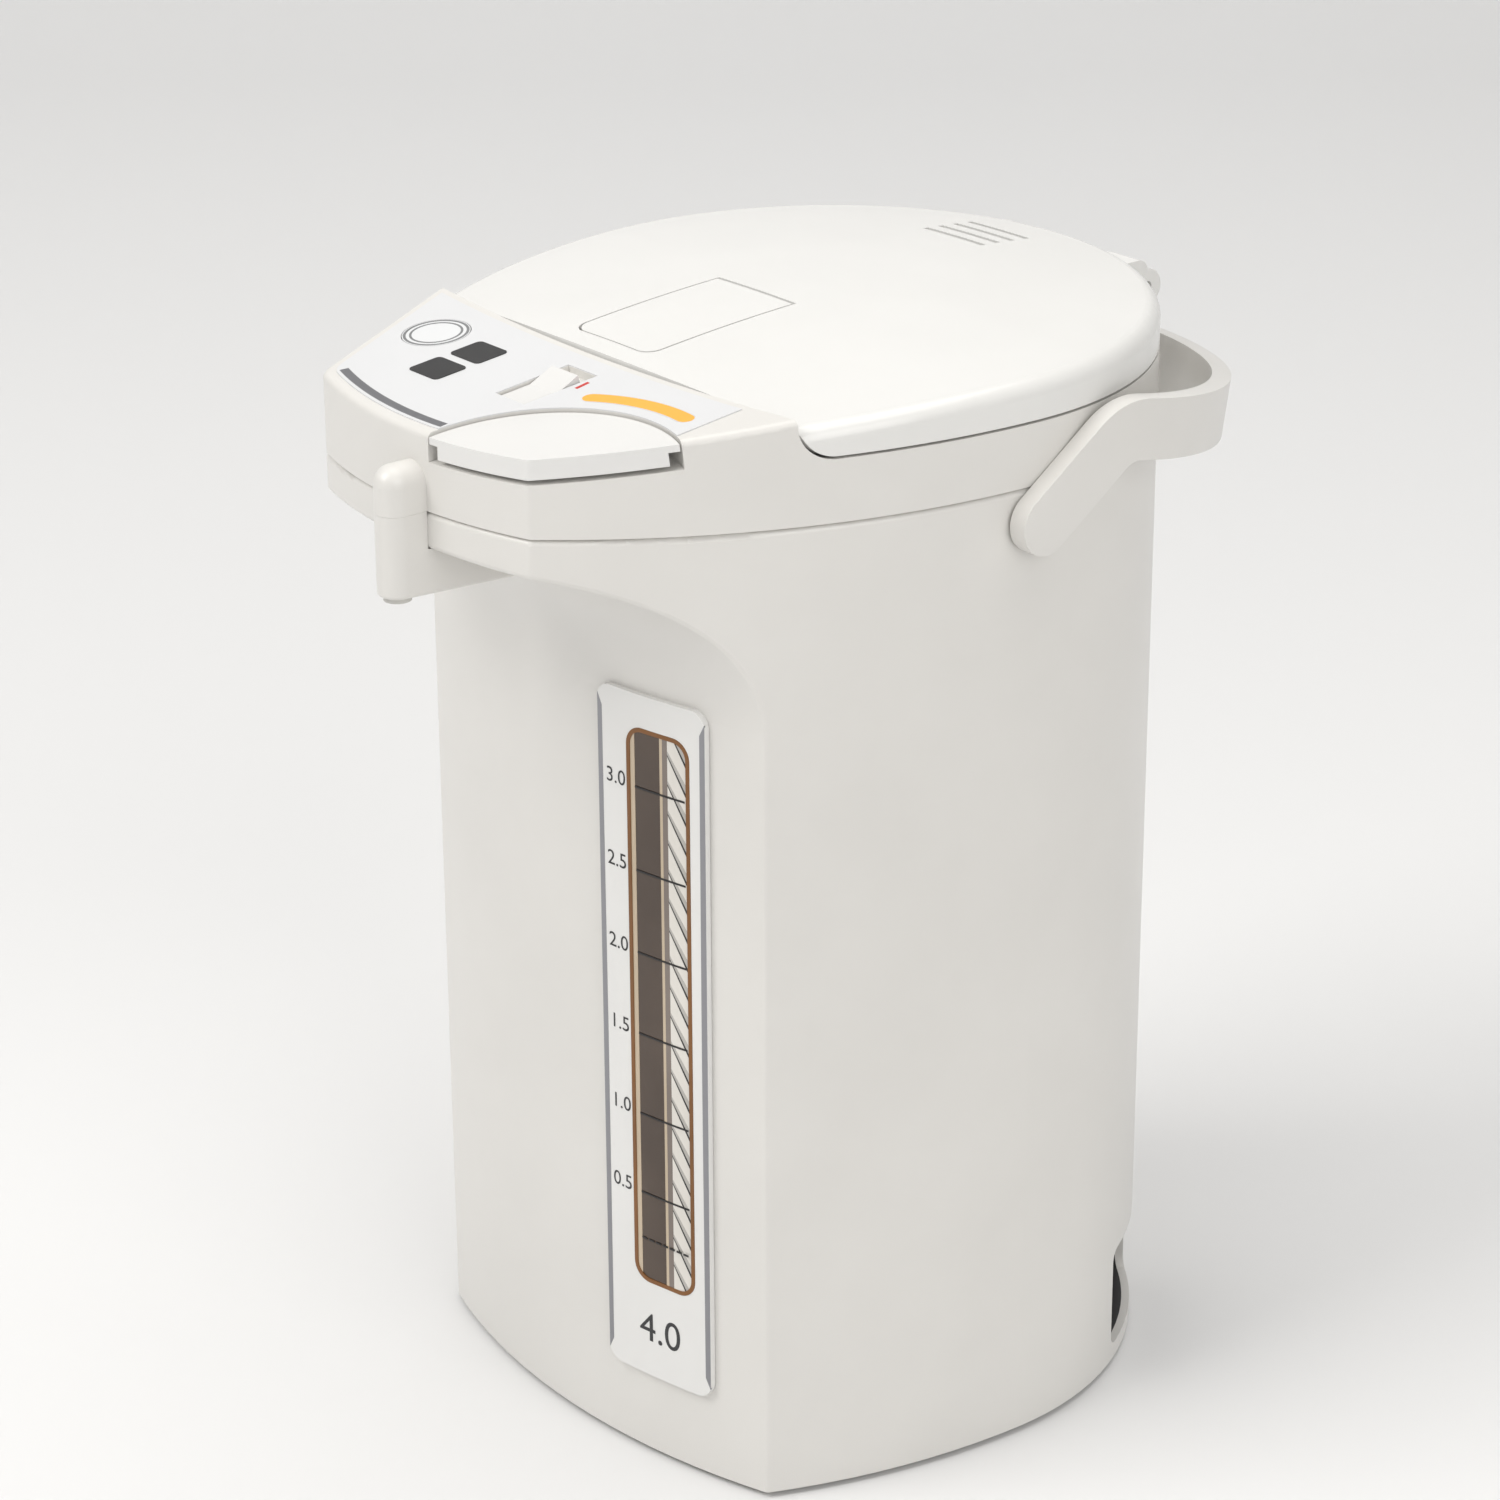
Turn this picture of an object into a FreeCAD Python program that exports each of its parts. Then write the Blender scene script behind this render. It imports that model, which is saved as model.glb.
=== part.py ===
import FreeCAD
import Part
import math
import os

from FreeCAD import Vector

# Electric thermo pot, about 4 litres. Millimetres, +Z up, the spout faces -Y, the origin is
# on the table under the middle of the vessel. Left and right are as seen from the spout side.

# Casing outline, seen from above
back_radius = 99.0
side_turn_angle = 2.55
side_radius = 215.6
left_straight_from = -80.0
beak_front_y = -148.5
beak_front_radius = 150.0
beak_middle_x = -6.0
beak_left_rounding = 8.0
beak_right_rounding = 2.6
front_face_y = -101.0
front_face_radius = 237.0
lower_edge_rounding = 1.8

# Heights
foot_height = 2.5
casing_bottom = 2.0
seam_height = 307.4
seam_gap = 0.3
deck_rise = 18.4
deck_height = seam_height + deck_rise
lid_rise = 12.0
lid_rim_height = deck_height + lid_rise
lid_crown = 6.5
cove_drop = 60.4
cove_start = seam_height - cove_drop

# Walls and gaps
wall = 2.5
deck_thickness = 3.0
part_gap = 0.05
lid_gap = 0.8
moving_gap = 0.6

# The cove under the beak: two arcs that follow on from the upright front face
cove_low_radius = 46.7
cove_low_turn = 55.1
cove_high_radius = 66.3
cove_full_turn = 80.5
cove_flare_length = 30.0

# Split between beak and lid
split_middle_y = -84.0
split_radius = 636.0
lid_corner_radius = 10.0
lid_crown_back = 10.0
lid_edge_rounding = 5.0

# Sloping control panel on the beak
panel_slope = 6.4
panel_hinge_y = -80.0
panel_edge_rounding = 2.0
label_thickness = 0.35
label_inset = 3.6
label_right_x = 64.0

# Dispense button
button_x = 50.5
button_y = -147.5
button_radius = 42.8
button_plate = 2.0
button_height = 5.8
button_drop = 0.9
button_skirt_inset = 3.2
button_travel = 1.2
button_floor_gap = 0.3
button_stem_x = 42.0
button_stem_y = -122.0
button_stem_radius = 4.0
button_stem_length = 7.0

# Lock slider
slider_x = 6.0
slider_front_y = -119.0
slider_rear_y = -93.5
slider_width = 12.0
slider_length = 19.8
slider_plate = 1.6
slider_knob = 3.0
slider_knob_length = 9.0
slider_pocket_depth = 2.4
slider_travel = 4.6

# Round key for boiling again
key_x = -51.8
key_y = -102.3
key_radius = 10.0
key_thickness = 2.0
key_travel = 0.5

# Indicator windows, named by the y of their middle
indicator_x = -28.8
indicator_ys = (-104.0, -118.6)
indicator_size = (13.6, 11.4)
indicator_thickness = 0.25

# Spout
spout_y = -155.0
spout_radius = 5.7
spout_bottom = seam_height - 24.4
spout_dome_top = seam_height + 13.8
duct_rear_y = -112.0
duct_bottom_rear = seam_height - 27.0
nozzle_radius = 4.0
nozzle_wall = 0.9
nozzle_stand_out = 1.5
nozzle_bend = 6.0
nozzle_run_height = seam_height - 5.8
nozzle_run_end = -132.0

# Hinge
hinge_y = back_radius + 5.0
hinge_z = deck_height + 1.7
hinge_half_width = 30.0
knuckle_radius = 5.6
hinge_pin_radius = 1.75
ear_half_width = 16.5
bracket_back_y = hinge_y + 6.5
bracket_bottom = seam_height - 11.6
bracket_top = hinge_z - 8.0
bracket_stub_x = 18.0
bracket_stub_z = seam_height - 5.9
bracket_stub_radius = 3.0

# Lid lever and latch bolt
lever_x = -4.0
lever_width = 34.0
lever_front_y = -75.5
lever_rear_y = -22.6
lever_bottom = lid_rim_height - 1.2
lever_axis_y = -24.5
lever_axis_z = lid_rim_height + 3.7
lever_pin_radius = 1.2
lever_corner = 5.0
pocket_floor = lid_rim_height - 3.2
bolt_width = 14.0
bolt_thickness = 2.6
bolt_length = 22.0
bolt_z = deck_height + 4.2
bolt_setback = 1.6
bolt_travel = 4.0

# Handle
pivot_y = -7.0
pivot_z = seam_height - 9.9
handle_width = 18.0
handle_thickness = 6.0
handle_inner_half = back_radius + 0.35
handle_spring_z = pivot_z + 34.0
handle_top_inner = handle_spring_z + 93.0
handle_roundness = 1.8
handle_fold_at_rest = 100.0
handle_elbow = (-33.5, pivot_z + 26.5)
handle_top_y = -28.0
handle_bend_radius = 16.0
pivot_pin_radius = 5.0
bush_radius = 8.0
bush_inner_x = back_radius - 11.5
pivot_pin_end_x = bush_inner_x + 1.0

# Vessel
vessel_radius = 78.0
vessel_wall = 1.0
vessel_floor = 64.7
vessel_flange_radius = vessel_radius + 8.0
flange_thickness = 1.2
gasket_height = 3.4
jacket_radius = vessel_radius + 8.2
jacket_wall = 0.6
jacket_bottom = 56.0
mouth_radius = vessel_radius + 1.5

# Lid insides
lid_plug_radius = vessel_radius - 1.2
lid_plug_bottom = deck_height - 13.8
lid_plate_thickness = 2.0
lid_seal_radius = vessel_radius - 0.6
lid_seal_bottom = lid_plug_bottom + 2.0
lid_seal_height = 4.0
steam_slot_length = 26.0
steam_slot_width = 2.0
steam_slot_ys = (62.0, 68.0, 74.0, 80.0)
steam_slot_x = -11.0

# Water gauge
gauge_angle = 9.9
gauge_width = 40.6
gauge_bottom = 29.0
gauge_top = 250.0
gauge_thickness = 2.0
gauge_seat_gap = 0.12
gauge_corner = 5.0
window_offset = 3.0
window_width = 23.6
window_bottom = 61.0
window_top = 240.0
window_corner = 6.0
window_recess = 0.2
tube_radius = 5.0
tube_bore = 4.0
tube_setback = 9.4
backing_setback = 16.0
backing_thickness = 1.0

# Drive and heating under the vessel
pump_x = 15.0
pump_y = -40.0
motor_radius = 15.0
motor_height = 20.0
pump_radius = 22.0
pump_height = 18.0
pump_wall = 2.0
shaft_radius = 1.5
rotor_radius = 17.0
rotor_height = 8.0
suction_radius = 6.0
suction_wall = 1.0
heater_radius = 62.0
heater_thickness = 5.0
thermostat_radius = 10.0
thermostat_height = 9.0

# Power inlet at the back right
inlet_angle = 42.0
inlet_width = 54.0
inlet_height = 34.0
inlet_bottom = 7.0
inlet_depth_radius = 72.0
inlet_wall = 2.0
inlet_pin_radius = 2.0
inlet_pin_length = 9.0
inlet_pin_spacing = 18.0

# Base
base_thickness = 2.5
foot_radius = 8.0
foot_stud_radius = 2.5
foot_places = ((-56.0, 54.0), (56.0, 54.0), (-52.0, -66.0), (52.0, -66.0), (0.0, 0.0))
screw_places = ((-83.0, 18.0), (83.0, 18.0), (-68.0, -66.0), (68.0, -66.0))
screw_radius = 1.75
screw_head_radius = 3.4
screw_head_height = 1.5
screw_length = 14.0
boss_radius = 4.5
boss_height = 20.0
boss_web = 18.0

# Circuit boards
board_thickness = 1.6
control_board_box = (-40.0, -136.0, 24.0, -96.0)
board_post_places = ((-36.0, -131.0), (20.0, -131.0), (20.0, -100.0), (-21.5, -100.0))
control_board_z = seam_height + 7.6
power_board_box = (-72.0, -22.0, -22.0, 34.0)
power_board_z = 14.0
transformer_size = (24.0, 20.0, 16.0)

top_limit = 460.0
far = 300.0


def box(x0, y0, z0, x1, y1, z1):
    return Part.makeBox(x1 - x0, y1 - y0, z1 - z0, Vector(x0, y0, z0))


def rod(radius, x, y, z0, z1):
    return Part.makeCylinder(radius, z1 - z0, Vector(x, y, z0))


def tube(outer, inner, x, y, z0, z1):
    return rod(outer, x, y, z0, z1).cut(rod(inner, x, y, z0, z1))


def cross_rod(radius, x0, x1, y, z):
    return Part.makeCylinder(radius, x1 - x0, Vector(x0, y, z), Vector(1, 0, 0))


def fuse_all(shapes):
    result = shapes[0].multiFuse(shapes[1:])
    return result.removeSplitter()


def circle_crossing(centre_a, radius_a, centre_b, radius_b, lower):
    """Where two circles in plan cross; lower picks the crossing nearer the spout."""
    dx = centre_b[0] - centre_a[0]
    dy = centre_b[1] - centre_a[1]
    distance = math.hypot(dx, dy)
    along = (radius_a ** 2 - radius_b ** 2 + distance ** 2) / (2.0 * distance)
    across = math.sqrt(radius_a ** 2 - along ** 2)
    middle_x = centre_a[0] + along * dx / distance
    middle_y = centre_a[1] + along * dy / distance
    first = (middle_x - across * dy / distance, middle_y + across * dx / distance)
    second = (middle_x + across * dy / distance, middle_y - across * dx / distance)
    candidates = sorted((first, second), key=lambda point: point[1])
    return candidates[0] if lower else candidates[1]


def line_circle_crossing(start, direction, centre, radius):
    """First crossing of a line with a circle, going along the direction from outside."""
    ox = start[0] - centre[0]
    oy = start[1] - centre[1]
    half_b = ox * direction[0] + oy * direction[1]
    c = ox ** 2 + oy ** 2 - radius ** 2
    reach = -half_b + math.sqrt(half_b ** 2 - c)
    return (start[0] + reach * direction[0], start[1] + reach * direction[1])


def outline_face(inset):
    """Casing outline seen from above, drawn in by the inset, at z = 0."""
    turn = math.radians(side_turn_angle)
    back = back_radius - inset
    side = side_radius - inset
    offset = side_radius - back_radius
    right_centre = (-offset * math.cos(turn), offset * math.sin(turn))
    left_centre = (offset * math.cos(turn), offset * math.sin(turn))
    front_centre = (beak_middle_x, beak_front_y + beak_front_radius)
    front = beak_front_radius - inset

    right_start = (back * math.cos(turn), -back * math.sin(turn))
    left_start = (-back * math.cos(turn), -back * math.sin(turn))
    right_corner = circle_crossing(right_centre, side, front_centre, front, True)

    rise = math.asin((left_centre[1] - left_straight_from) / side_radius)
    bend = (left_centre[0] - side * math.cos(rise), left_centre[1] - side * math.sin(rise))
    heading = (math.sin(rise), -math.cos(rise))
    left_corner = line_circle_crossing(bend, heading, front_centre, front)

    def on_side(centre, radius, a, b, sign):
        angle_a = math.atan2(a[1] - centre[1], sign * (a[0] - centre[0]))
        angle_b = math.atan2(b[1] - centre[1], sign * (b[0] - centre[0]))
        middle = (angle_a + angle_b) / 2.0
        return Vector(centre[0] + sign * radius * math.cos(middle),
                      centre[1] + radius * math.sin(middle), 0)

    def point(pair):
        return Vector(pair[0], pair[1], 0)

    back_arc = Part.Arc(point(right_start), Vector(0, back, 0), point(left_start))
    left_arc = Part.Arc(point(left_start), on_side(left_centre, side, left_start, bend, -1),
                        point(bend))
    left_line = Part.LineSegment(point(bend), point(left_corner))
    front_middle = Vector(front_centre[0], front_centre[1] - front, 0)
    front_arc = Part.Arc(point(left_corner), front_middle, point(right_corner))
    right_arc = Part.Arc(point(right_corner),
                         on_side(right_centre, side, right_corner, right_start, 1),
                         point(right_start))
    curves = (back_arc, left_arc, left_line, front_arc, right_arc)
    return Part.Face(Part.Wire([curve.toShape() for curve in curves]))


def vertical_edges_near(shape, x, y, reach):
    chosen = []
    for edge in shape.Edges:
        ends = [vertex.Point for vertex in edge.Vertexes]
        if len(ends) != 2:
            continue
        upright = math.hypot(ends[0].x - ends[1].x, ends[0].y - ends[1].y) < 0.01
        if upright and math.hypot(ends[0].x - x, ends[0].y - y) < reach:
            chosen.append(edge)
    return chosen


def prism(inset, z0, z1):
    """Upright block on the casing outline, with the beak's corners rounded."""
    shape = outline_face(inset).extrude(Vector(0, 0, z1 - z0))
    shape.translate(Vector(0, 0, z0))
    corners = [vertex.Point for vertex in shape.Vertexes if vertex.Point.y < -100.0]
    left = min(corners, key=lambda point: point.x)
    right = max(corners, key=lambda point: point.x)
    left_edges = vertical_edges_near(shape, left.x, left.y, 1.0)
    shape = shape.makeFillet(beak_left_rounding, left_edges)
    right_edges = vertical_edges_near(shape, right.x, right.y, 1.0)
    return shape.makeFillet(beak_right_rounding, right_edges)


def front_form(inset):
    """Turned block whose rim is the recessed front face and the cove under the beak."""
    radius = front_face_radius - inset
    axis_y = front_face_y + front_face_radius
    low = Vector(radius, axis_y, cove_start + inset)
    low_centre = Vector(radius + cove_low_radius, axis_y, low.z)

    def around(centre, arc_radius, turn):
        angle = math.radians(turn)
        return Vector(centre.x - arc_radius * math.cos(angle), axis_y,
                      centre.z + arc_radius * math.sin(angle))

    mid = around(low_centre, cove_low_radius, cove_low_turn)
    back_step = cove_high_radius - cove_low_radius
    turn = math.radians(cove_low_turn)
    high_centre = low_centre + Vector(back_step * math.cos(turn), 0, -back_step * math.sin(turn))
    end = around(high_centre, cove_high_radius, cove_full_turn)
    low_arc = Part.Arc(low, around(low_centre, cove_low_radius, cove_low_turn / 2.0), mid)
    half_way = (cove_low_turn + cove_full_turn) / 2.0
    high_arc = Part.Arc(mid, around(high_centre, cove_high_radius, half_way), end)
    rise = math.radians(90.0 - cove_full_turn)
    outer = end + Vector(math.cos(rise), 0, math.sin(rise)) * cove_flare_length
    top = top_limit
    corners = [outer, Vector(outer.x, axis_y, top), Vector(0, axis_y, top),
               Vector(0, axis_y, -10.0), Vector(radius, axis_y, -10.0), low]
    sides = [Part.makeLine(end, outer)]
    sides += [Part.makeLine(a, b) for a, b in zip(corners, corners[1:])]
    face = Part.Face(Part.Wire([low_arc.toShape(), high_arc.toShape()] + sides))
    return face.revolve(Vector(0, axis_y, 0), Vector(0, 0, 1), 360.0)


def lower_form(inset, z0, z1):
    return prism(inset, z0, z1).common(front_form(inset))


def on_panel(shape):
    """Lays a shape drawn at panel height 0 onto the sloping panel."""
    placed = shape.copy()
    placed.translate(Vector(0, 0, lid_rim_height))
    placed.rotate(Vector(0, panel_hinge_y, lid_rim_height), Vector(1, 0, 0), panel_slope)
    return placed


def below_panel(depth):
    """Everything that lies lower than the panel plane less a depth."""
    return on_panel(box(-far, -far, -far, far, far, -depth))


def split_block(inset, z0, corner):
    """Room for the lid: a wide disc whose front edge is the split line."""
    centre_y = split_middle_y + split_radius
    block = rod(split_radius - inset, 0, centre_y, z0, top_limit)
    lower_edges = [edge for edge in block.Edges
                   if abs(edge.BoundBox.ZMax - z0) < 0.01 and edge.BoundBox.XLength > 1.0]
    return block.makeFillet(corner, lower_edges)


def crown_ball(inset):
    """Ball whose top is the crowned lid surface."""
    half = back_radius
    ball_radius = (half ** 2 + lid_crown ** 2) / (2.0 * lid_crown)
    centre = Vector(0, lid_crown_back, lid_rim_height + lid_crown - ball_radius)
    return Part.makeSphere(ball_radius - inset, centre)


# Casing

def front_form_edges(shape):
    """Edges where the front face and the cove meet the upright sides of the casing."""
    axis = Vector(0, front_face_y + front_face_radius, 0)
    chosen = []
    for edge in shape.Edges:
        middle = edge.valueAt((edge.FirstParameter + edge.LastParameter) / 2.0)
        if middle.z > seam_height - 0.1 or middle.z < casing_bottom + 0.1:
            continue
        faces = shape.ancestorsOfType(edge, Part.Face)
        turned = []
        for face in faces:
            centre = getattr(face.Surface, "Center", None)
            upright = isinstance(face.Surface, (Part.Cylinder, Part.Plane))
            on_axis = centre is not None and abs(centre.x) < 0.01 and abs(
                centre.y - axis.y) < 0.01
            turned.append(on_axis or not upright)
        if len(faces) == 2 and turned[0] != turned[1]:
            chosen.append(edge)
    return chosen


def make_body_shell():
    outer = lower_form(0, casing_bottom, seam_height - seam_gap)
    outer = outer.makeFillet(lower_edge_rounding, front_form_edges(outer))
    inner = lower_form(wall, casing_bottom - 1.0, seam_height + 1.0)
    shell = outer.cut(inner)
    bosses = []
    for x, y in screw_places:
        boss = rod(boss_radius, x, y, base_top(), base_top() + boss_height)
        web = box(min(x, x + math.copysign(boss_web, x)), y - 1.2, base_top(),
                  max(x, x + math.copysign(boss_web, x)), y + 1.2, base_top() + boss_height)
        bosses.append(boss.fuse(web).common(inner))
    shell = shell.multiFuse(bosses)
    for x, y in screw_places:
        shell = shell.cut(rod(screw_radius + part_gap, x, y, 0, base_top() + boss_height))
    shell = shell.cut(gauge_block(window_offset, window_width - 2.4, window_bottom + 1.2,
                                  window_top - 1.2, window_corner - 1.2,
                                  front_face_radius - 8.0, front_face_radius + 4.0))
    shell = shell.cut(inlet_block(inlet_width, inlet_height, inlet_depth_radius + 10.0,
                                  back_radius + 6.0, 4.0))
    for side in (-1, 1):
        start = side * (back_radius + 4.0)
        bore = cross_rod(bush_radius + part_gap, min(start, side * 80.0),
                         max(start, side * 80.0), pivot_y, pivot_z)
        shell = shell.cut(bore)
    for side in (-1, 1):
        shell = shell.cut(Part.makeCylinder(bracket_stub_radius + part_gap, 20.0,
                                            Vector(side * bracket_stub_x, back_radius - 15.0,
                                                   bracket_stub_z), Vector(0, 1, 0)))
    run = Part.makeCylinder(nozzle_radius + part_gap, 30.0,
                            Vector(0, beak_front_y - 6.0, nozzle_run_height), Vector(0, 1, 0))
    return shell.cut(run)


def base_top():
    return foot_height + base_thickness


def make_base_plate():
    plate = lower_form(wall + 2 * part_gap, foot_height, base_top())
    for x, y in foot_places:
        plate = plate.cut(rod(foot_stud_radius + part_gap, x, y, 0, base_top() + 1))
    for x, y in screw_places:
        plate = plate.cut(rod(screw_radius + part_gap, x, y, 0, base_top() + 1))
        plate = plate.cut(rod(screw_head_radius + 0.2, x, y, 0, foot_height + screw_head_height))
    posts = []
    x0, y0, x1, y1 = power_board_box
    for x in (x0 + 5.0, x1 - 5.0):
        for y in (y0 + 5.0, y1 - 5.0):
            posts.append(rod(3.0, x, y, base_top() - 0.5, power_board_z))
    return fuse_all([plate] + posts)


def make_rubber_feet():
    feet = []
    for x, y in foot_places:
        pad = rod(foot_radius, x, y, 0, foot_height)
        pad = pad.makeChamfer(0.6, [pad.Edges[2]])
        feet.append(pad.fuse(rod(foot_stud_radius, x, y, foot_height - 0.5, base_top())))
    return Part.makeCompound(feet)


def make_base_screws():
    screws = []
    for x, y in screw_places:
        head = rod(screw_head_radius, x, y, foot_height, foot_height + screw_head_height)
        slot = box(x - 0.5, y - 2.4, foot_height - 0.1, x + 0.5, y + 2.4, foot_height + 0.8)
        cross = box(x - 2.4, y - 0.5, foot_height - 0.1, x + 2.4, y + 0.5, foot_height + 0.8)
        shank = rod(screw_radius, x, y, foot_height + 0.9, foot_height + screw_length)
        screws.append(head.cut(slot).cut(cross).fuse(shank))
    return Part.makeCompound(screws)


def spout_bump():
    straight = rod(spout_radius, 0, spout_y, seam_height, spout_dome_top - spout_radius)
    dome = Part.makeSphere(spout_radius, Vector(0, spout_y, spout_dome_top - spout_radius))
    dome = dome.common(box(-far, -far, seam_height, far, far, top_limit))
    neck = box(-spout_radius, spout_y, seam_height, spout_radius, beak_front_y + 3.0,
               spout_dome_top - spout_radius)
    arch = Part.makeCylinder(spout_radius, beak_front_y + 3.0 - spout_y,
                             Vector(0, spout_y, spout_dome_top - spout_radius), Vector(0, 1, 0))
    return fuse_all([straight, dome, neck, arch.common(
        box(-far, -far, seam_height, far, far, top_limit))])


def make_shoulder_cover():
    block = prism(0, seam_height, top_limit)
    beak_back = split_middle_y + 40.0
    beak = block.common(below_panel(0)).common(box(-far, -far, 0, far, beak_back, top_limit))
    rim = []
    for edge in beak.Edges:
        ends = [vertex.Point for vertex in edge.Vertexes]
        high = min(point.z for point in ends) > deck_height + 3.0
        if high and min(point.y for point in ends) < beak_back - 0.1:
            rim.append(edge)
    beak = beak.makeFillet(panel_edge_rounding, rim)
    beak = beak.fuse(block.common(box(-far, beak_back, 0, far, far, deck_height)))
    cover = beak.cut(split_block(0, deck_height, lid_corner_radius))

    room = prism(wall, seam_height - 1.0, top_limit)
    beak_room = room.common(below_panel(wall))
    beak_room = beak_room.cut(split_block(-wall, deck_height - deck_thickness,
                                          lid_corner_radius + wall))
    deck_room = room.common(box(-far, -far, 0, far, far, deck_height - deck_thickness))
    cover = cover.cut(beak_room).cut(deck_room)
    cover = cover.cut(rod(mouth_radius, 0, 0, seam_height, top_limit))

    tray = on_panel(rod(button_radius + moving_gap + wall, button_x, button_y,
                        -button_pocket_depth() - wall, 0))
    tray = tray.common(room.common(below_panel(0)))
    pocket = on_panel(rod(button_radius + moving_gap, button_x, button_y,
                          -button_pocket_depth(), 20.0))
    cover = cover.fuse(tray).cut(pocket)
    cover = cover.cut(rod(button_stem_radius + 0.3, button_stem_x, button_stem_y,
                          seam_height, top_limit))

    slider_tray = slider_pocket_block(wall * 0.6, -slider_pocket_depth - wall * 0.6, -0.2)
    cover = cover.fuse(slider_tray).cut(slider_pocket_block(0, -slider_pocket_depth, 5.0))
    cover = cover.cut(on_panel(rod(key_radius + 0.3, key_x, key_y, -20.0, 5.0)))
    ledge = tube(key_radius + 2.0, key_radius - 1.5, key_x, key_y,
                 -key_thickness - key_travel - 1.5, -key_thickness - key_travel)
    skirt = tube(key_radius + 2.0, key_radius + 0.3, key_x, key_y,
                 -key_thickness - key_travel - 1.5, -0.2)
    cover = cover.fuse(on_panel(ledge.fuse(skirt)))

    posts = []
    for x, y in board_post_places:
        post = rod(2.5, x, y, control_board_z + board_thickness, top_limit)
        posts.append(post.common(below_panel(0.2)))
    cover = cover.multiFuse(posts + [spout_bump()])
    cover = cover.cut(pocket).cut(slider_pocket_block(0, -slider_pocket_depth, 5.0))
    return cover.removeSplitter()


def button_pocket_depth():
    return button_drop + button_height + button_travel + button_floor_gap


def slider_pocket_block(grow, low, high):
    shape = box(slider_x - slider_width / 2.0 - 0.5 - grow, slider_front_y - grow, low,
                slider_x + slider_width / 2.0 + 0.5 + grow, slider_rear_y + grow, high)
    return on_panel(shape)


def make_spout_cover():
    pipe = rod(spout_radius, 0, spout_y, spout_bottom, seam_height - part_gap)
    section = Part.makePolygon([
        Vector(-spout_radius, spout_y, spout_bottom),
        Vector(-spout_radius, duct_rear_y, duct_bottom_rear),
        Vector(-spout_radius, duct_rear_y, seam_height - part_gap),
        Vector(-spout_radius, spout_y, seam_height - part_gap),
        Vector(-spout_radius, spout_y, spout_bottom)])
    duct = Part.Face(section).extrude(Vector(2.0 * spout_radius, 0, 0))
    cover = pipe.fuse(duct).cut(lower_form(-part_gap, casing_bottom, seam_height + 1.0))
    lower = [edge for edge in cover.Edges
             if edge.BoundBox.ZMax < spout_bottom + 0.2 and edge.BoundBox.DiagonalLength > 5.0
             and edge.BoundBox.YMin < spout_y + 1.0 and edge.BoundBox.YMax < beak_front_y + 40.0]
    cover = cover.makeFillet(1.2, lower)
    ends = nozzle_points(spout_bottom - 5.0, duct_rear_y + 5.0)
    cover = cover.cut(bent_rod(ends, nozzle_bend, nozzle_radius + part_gap))
    return max(cover.Solids, key=lambda solid: solid.Volume)


def make_nozzle_tube():
    ends = nozzle_points(spout_bottom - nozzle_stand_out, nozzle_run_end)
    return bent_pipe(ends, nozzle_bend, nozzle_radius, nozzle_radius - nozzle_wall)


def nozzle_points(low, run_end):
    return [Vector(0, spout_y, low), Vector(0, spout_y, nozzle_run_height),
            Vector(0, run_end, nozzle_run_height)]


# Controls on the beak

def button_disc(radius, low, high):
    disc = on_panel(rod(radius, button_x, button_y, low, high))
    return disc.common(prism(0, seam_height, top_limit))


def make_dispense_button():
    top = -button_drop
    plate = button_disc(button_radius, top - button_plate, top)
    skirt = button_disc(button_radius - button_skirt_inset, top - button_height,
                        top - button_plate)
    stem_bottom = deck_height - button_stem_length
    stem = rod(button_stem_radius, button_stem_x, button_stem_y, stem_bottom, lid_rim_height)
    stem = stem.common(below_panel(button_drop + 1.0))
    return fuse_all([plate, skirt, stem])


def make_button_switch():
    top = deck_height - button_stem_length - button_travel - 0.2
    body = box(button_stem_x - 6.0, button_stem_y - 3.5, seam_height + 1.0,
               button_stem_x + 6.0, button_stem_y + 3.5, top - 1.0)
    plunger = rod(1.6, button_stem_x, button_stem_y, top - 1.5, top)
    return body.fuse(plunger)


def make_switch_carrier():
    x1 = control_board_box[2]
    low = seam_height + 0.2
    floor = box(x1 - 6.0, button_stem_y - 5.0, low, button_stem_x + 8.0, button_stem_y + 5.0,
                seam_height + 1.0)
    riser = box(x1 - 6.0, button_stem_y - 5.0, low, x1 - 4.6, button_stem_y + 5.0,
                control_board_z)
    return floor.fuse(riser)


def make_lock_slider():
    x0 = slider_x - slider_width / 2.0
    y0 = slider_front_y + 0.3
    low = -slider_pocket_depth + 0.1
    plate = box(x0, y0, low, x0 + slider_width, y0 + slider_length, low + slider_plate)
    rear = y0 + slider_length
    wedge = Part.Face(Part.makePolygon([
        Vector(x0, rear - slider_knob_length, low + slider_plate - 0.1),
        Vector(x0, rear, low + slider_plate - 0.1),
        Vector(x0, rear - 0.6, low + slider_plate + slider_knob),
        Vector(x0, rear - slider_knob_length, low + slider_plate - 0.1)]))
    knob = wedge.extrude(Vector(slider_width, 0, 0))
    return on_panel(plate.fuse(knob))


def make_reboil_key():
    disc = rod(key_radius, key_x, key_y, -key_thickness, label_thickness)
    stem = rod(1.8, key_x, key_y, -key_thickness - 4.0, -key_thickness + 0.1)
    return on_panel(disc.fuse(stem))


def make_key_switch():
    """Push switch on its own small card below the round key."""
    x0 = control_board_box[0]
    card = box(key_x - 9.0, key_y - 6.0, control_board_z + board_thickness, x0 + 6.0,
               key_y + 6.0, control_board_z + board_thickness + 1.2)
    tip = on_panel(rod(1.5, key_x, key_y, -key_thickness - 4.0 - key_travel - 2.0,
                       -key_thickness - 4.0 - key_travel - 0.2))
    body = box(key_x - 4.0, key_y - 4.0, control_board_z + board_thickness + 1.0,
               key_x + 4.0, key_y + 4.0, tip.BoundBox.ZMin + 0.8)
    return fuse_all([card, body, tip])


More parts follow.
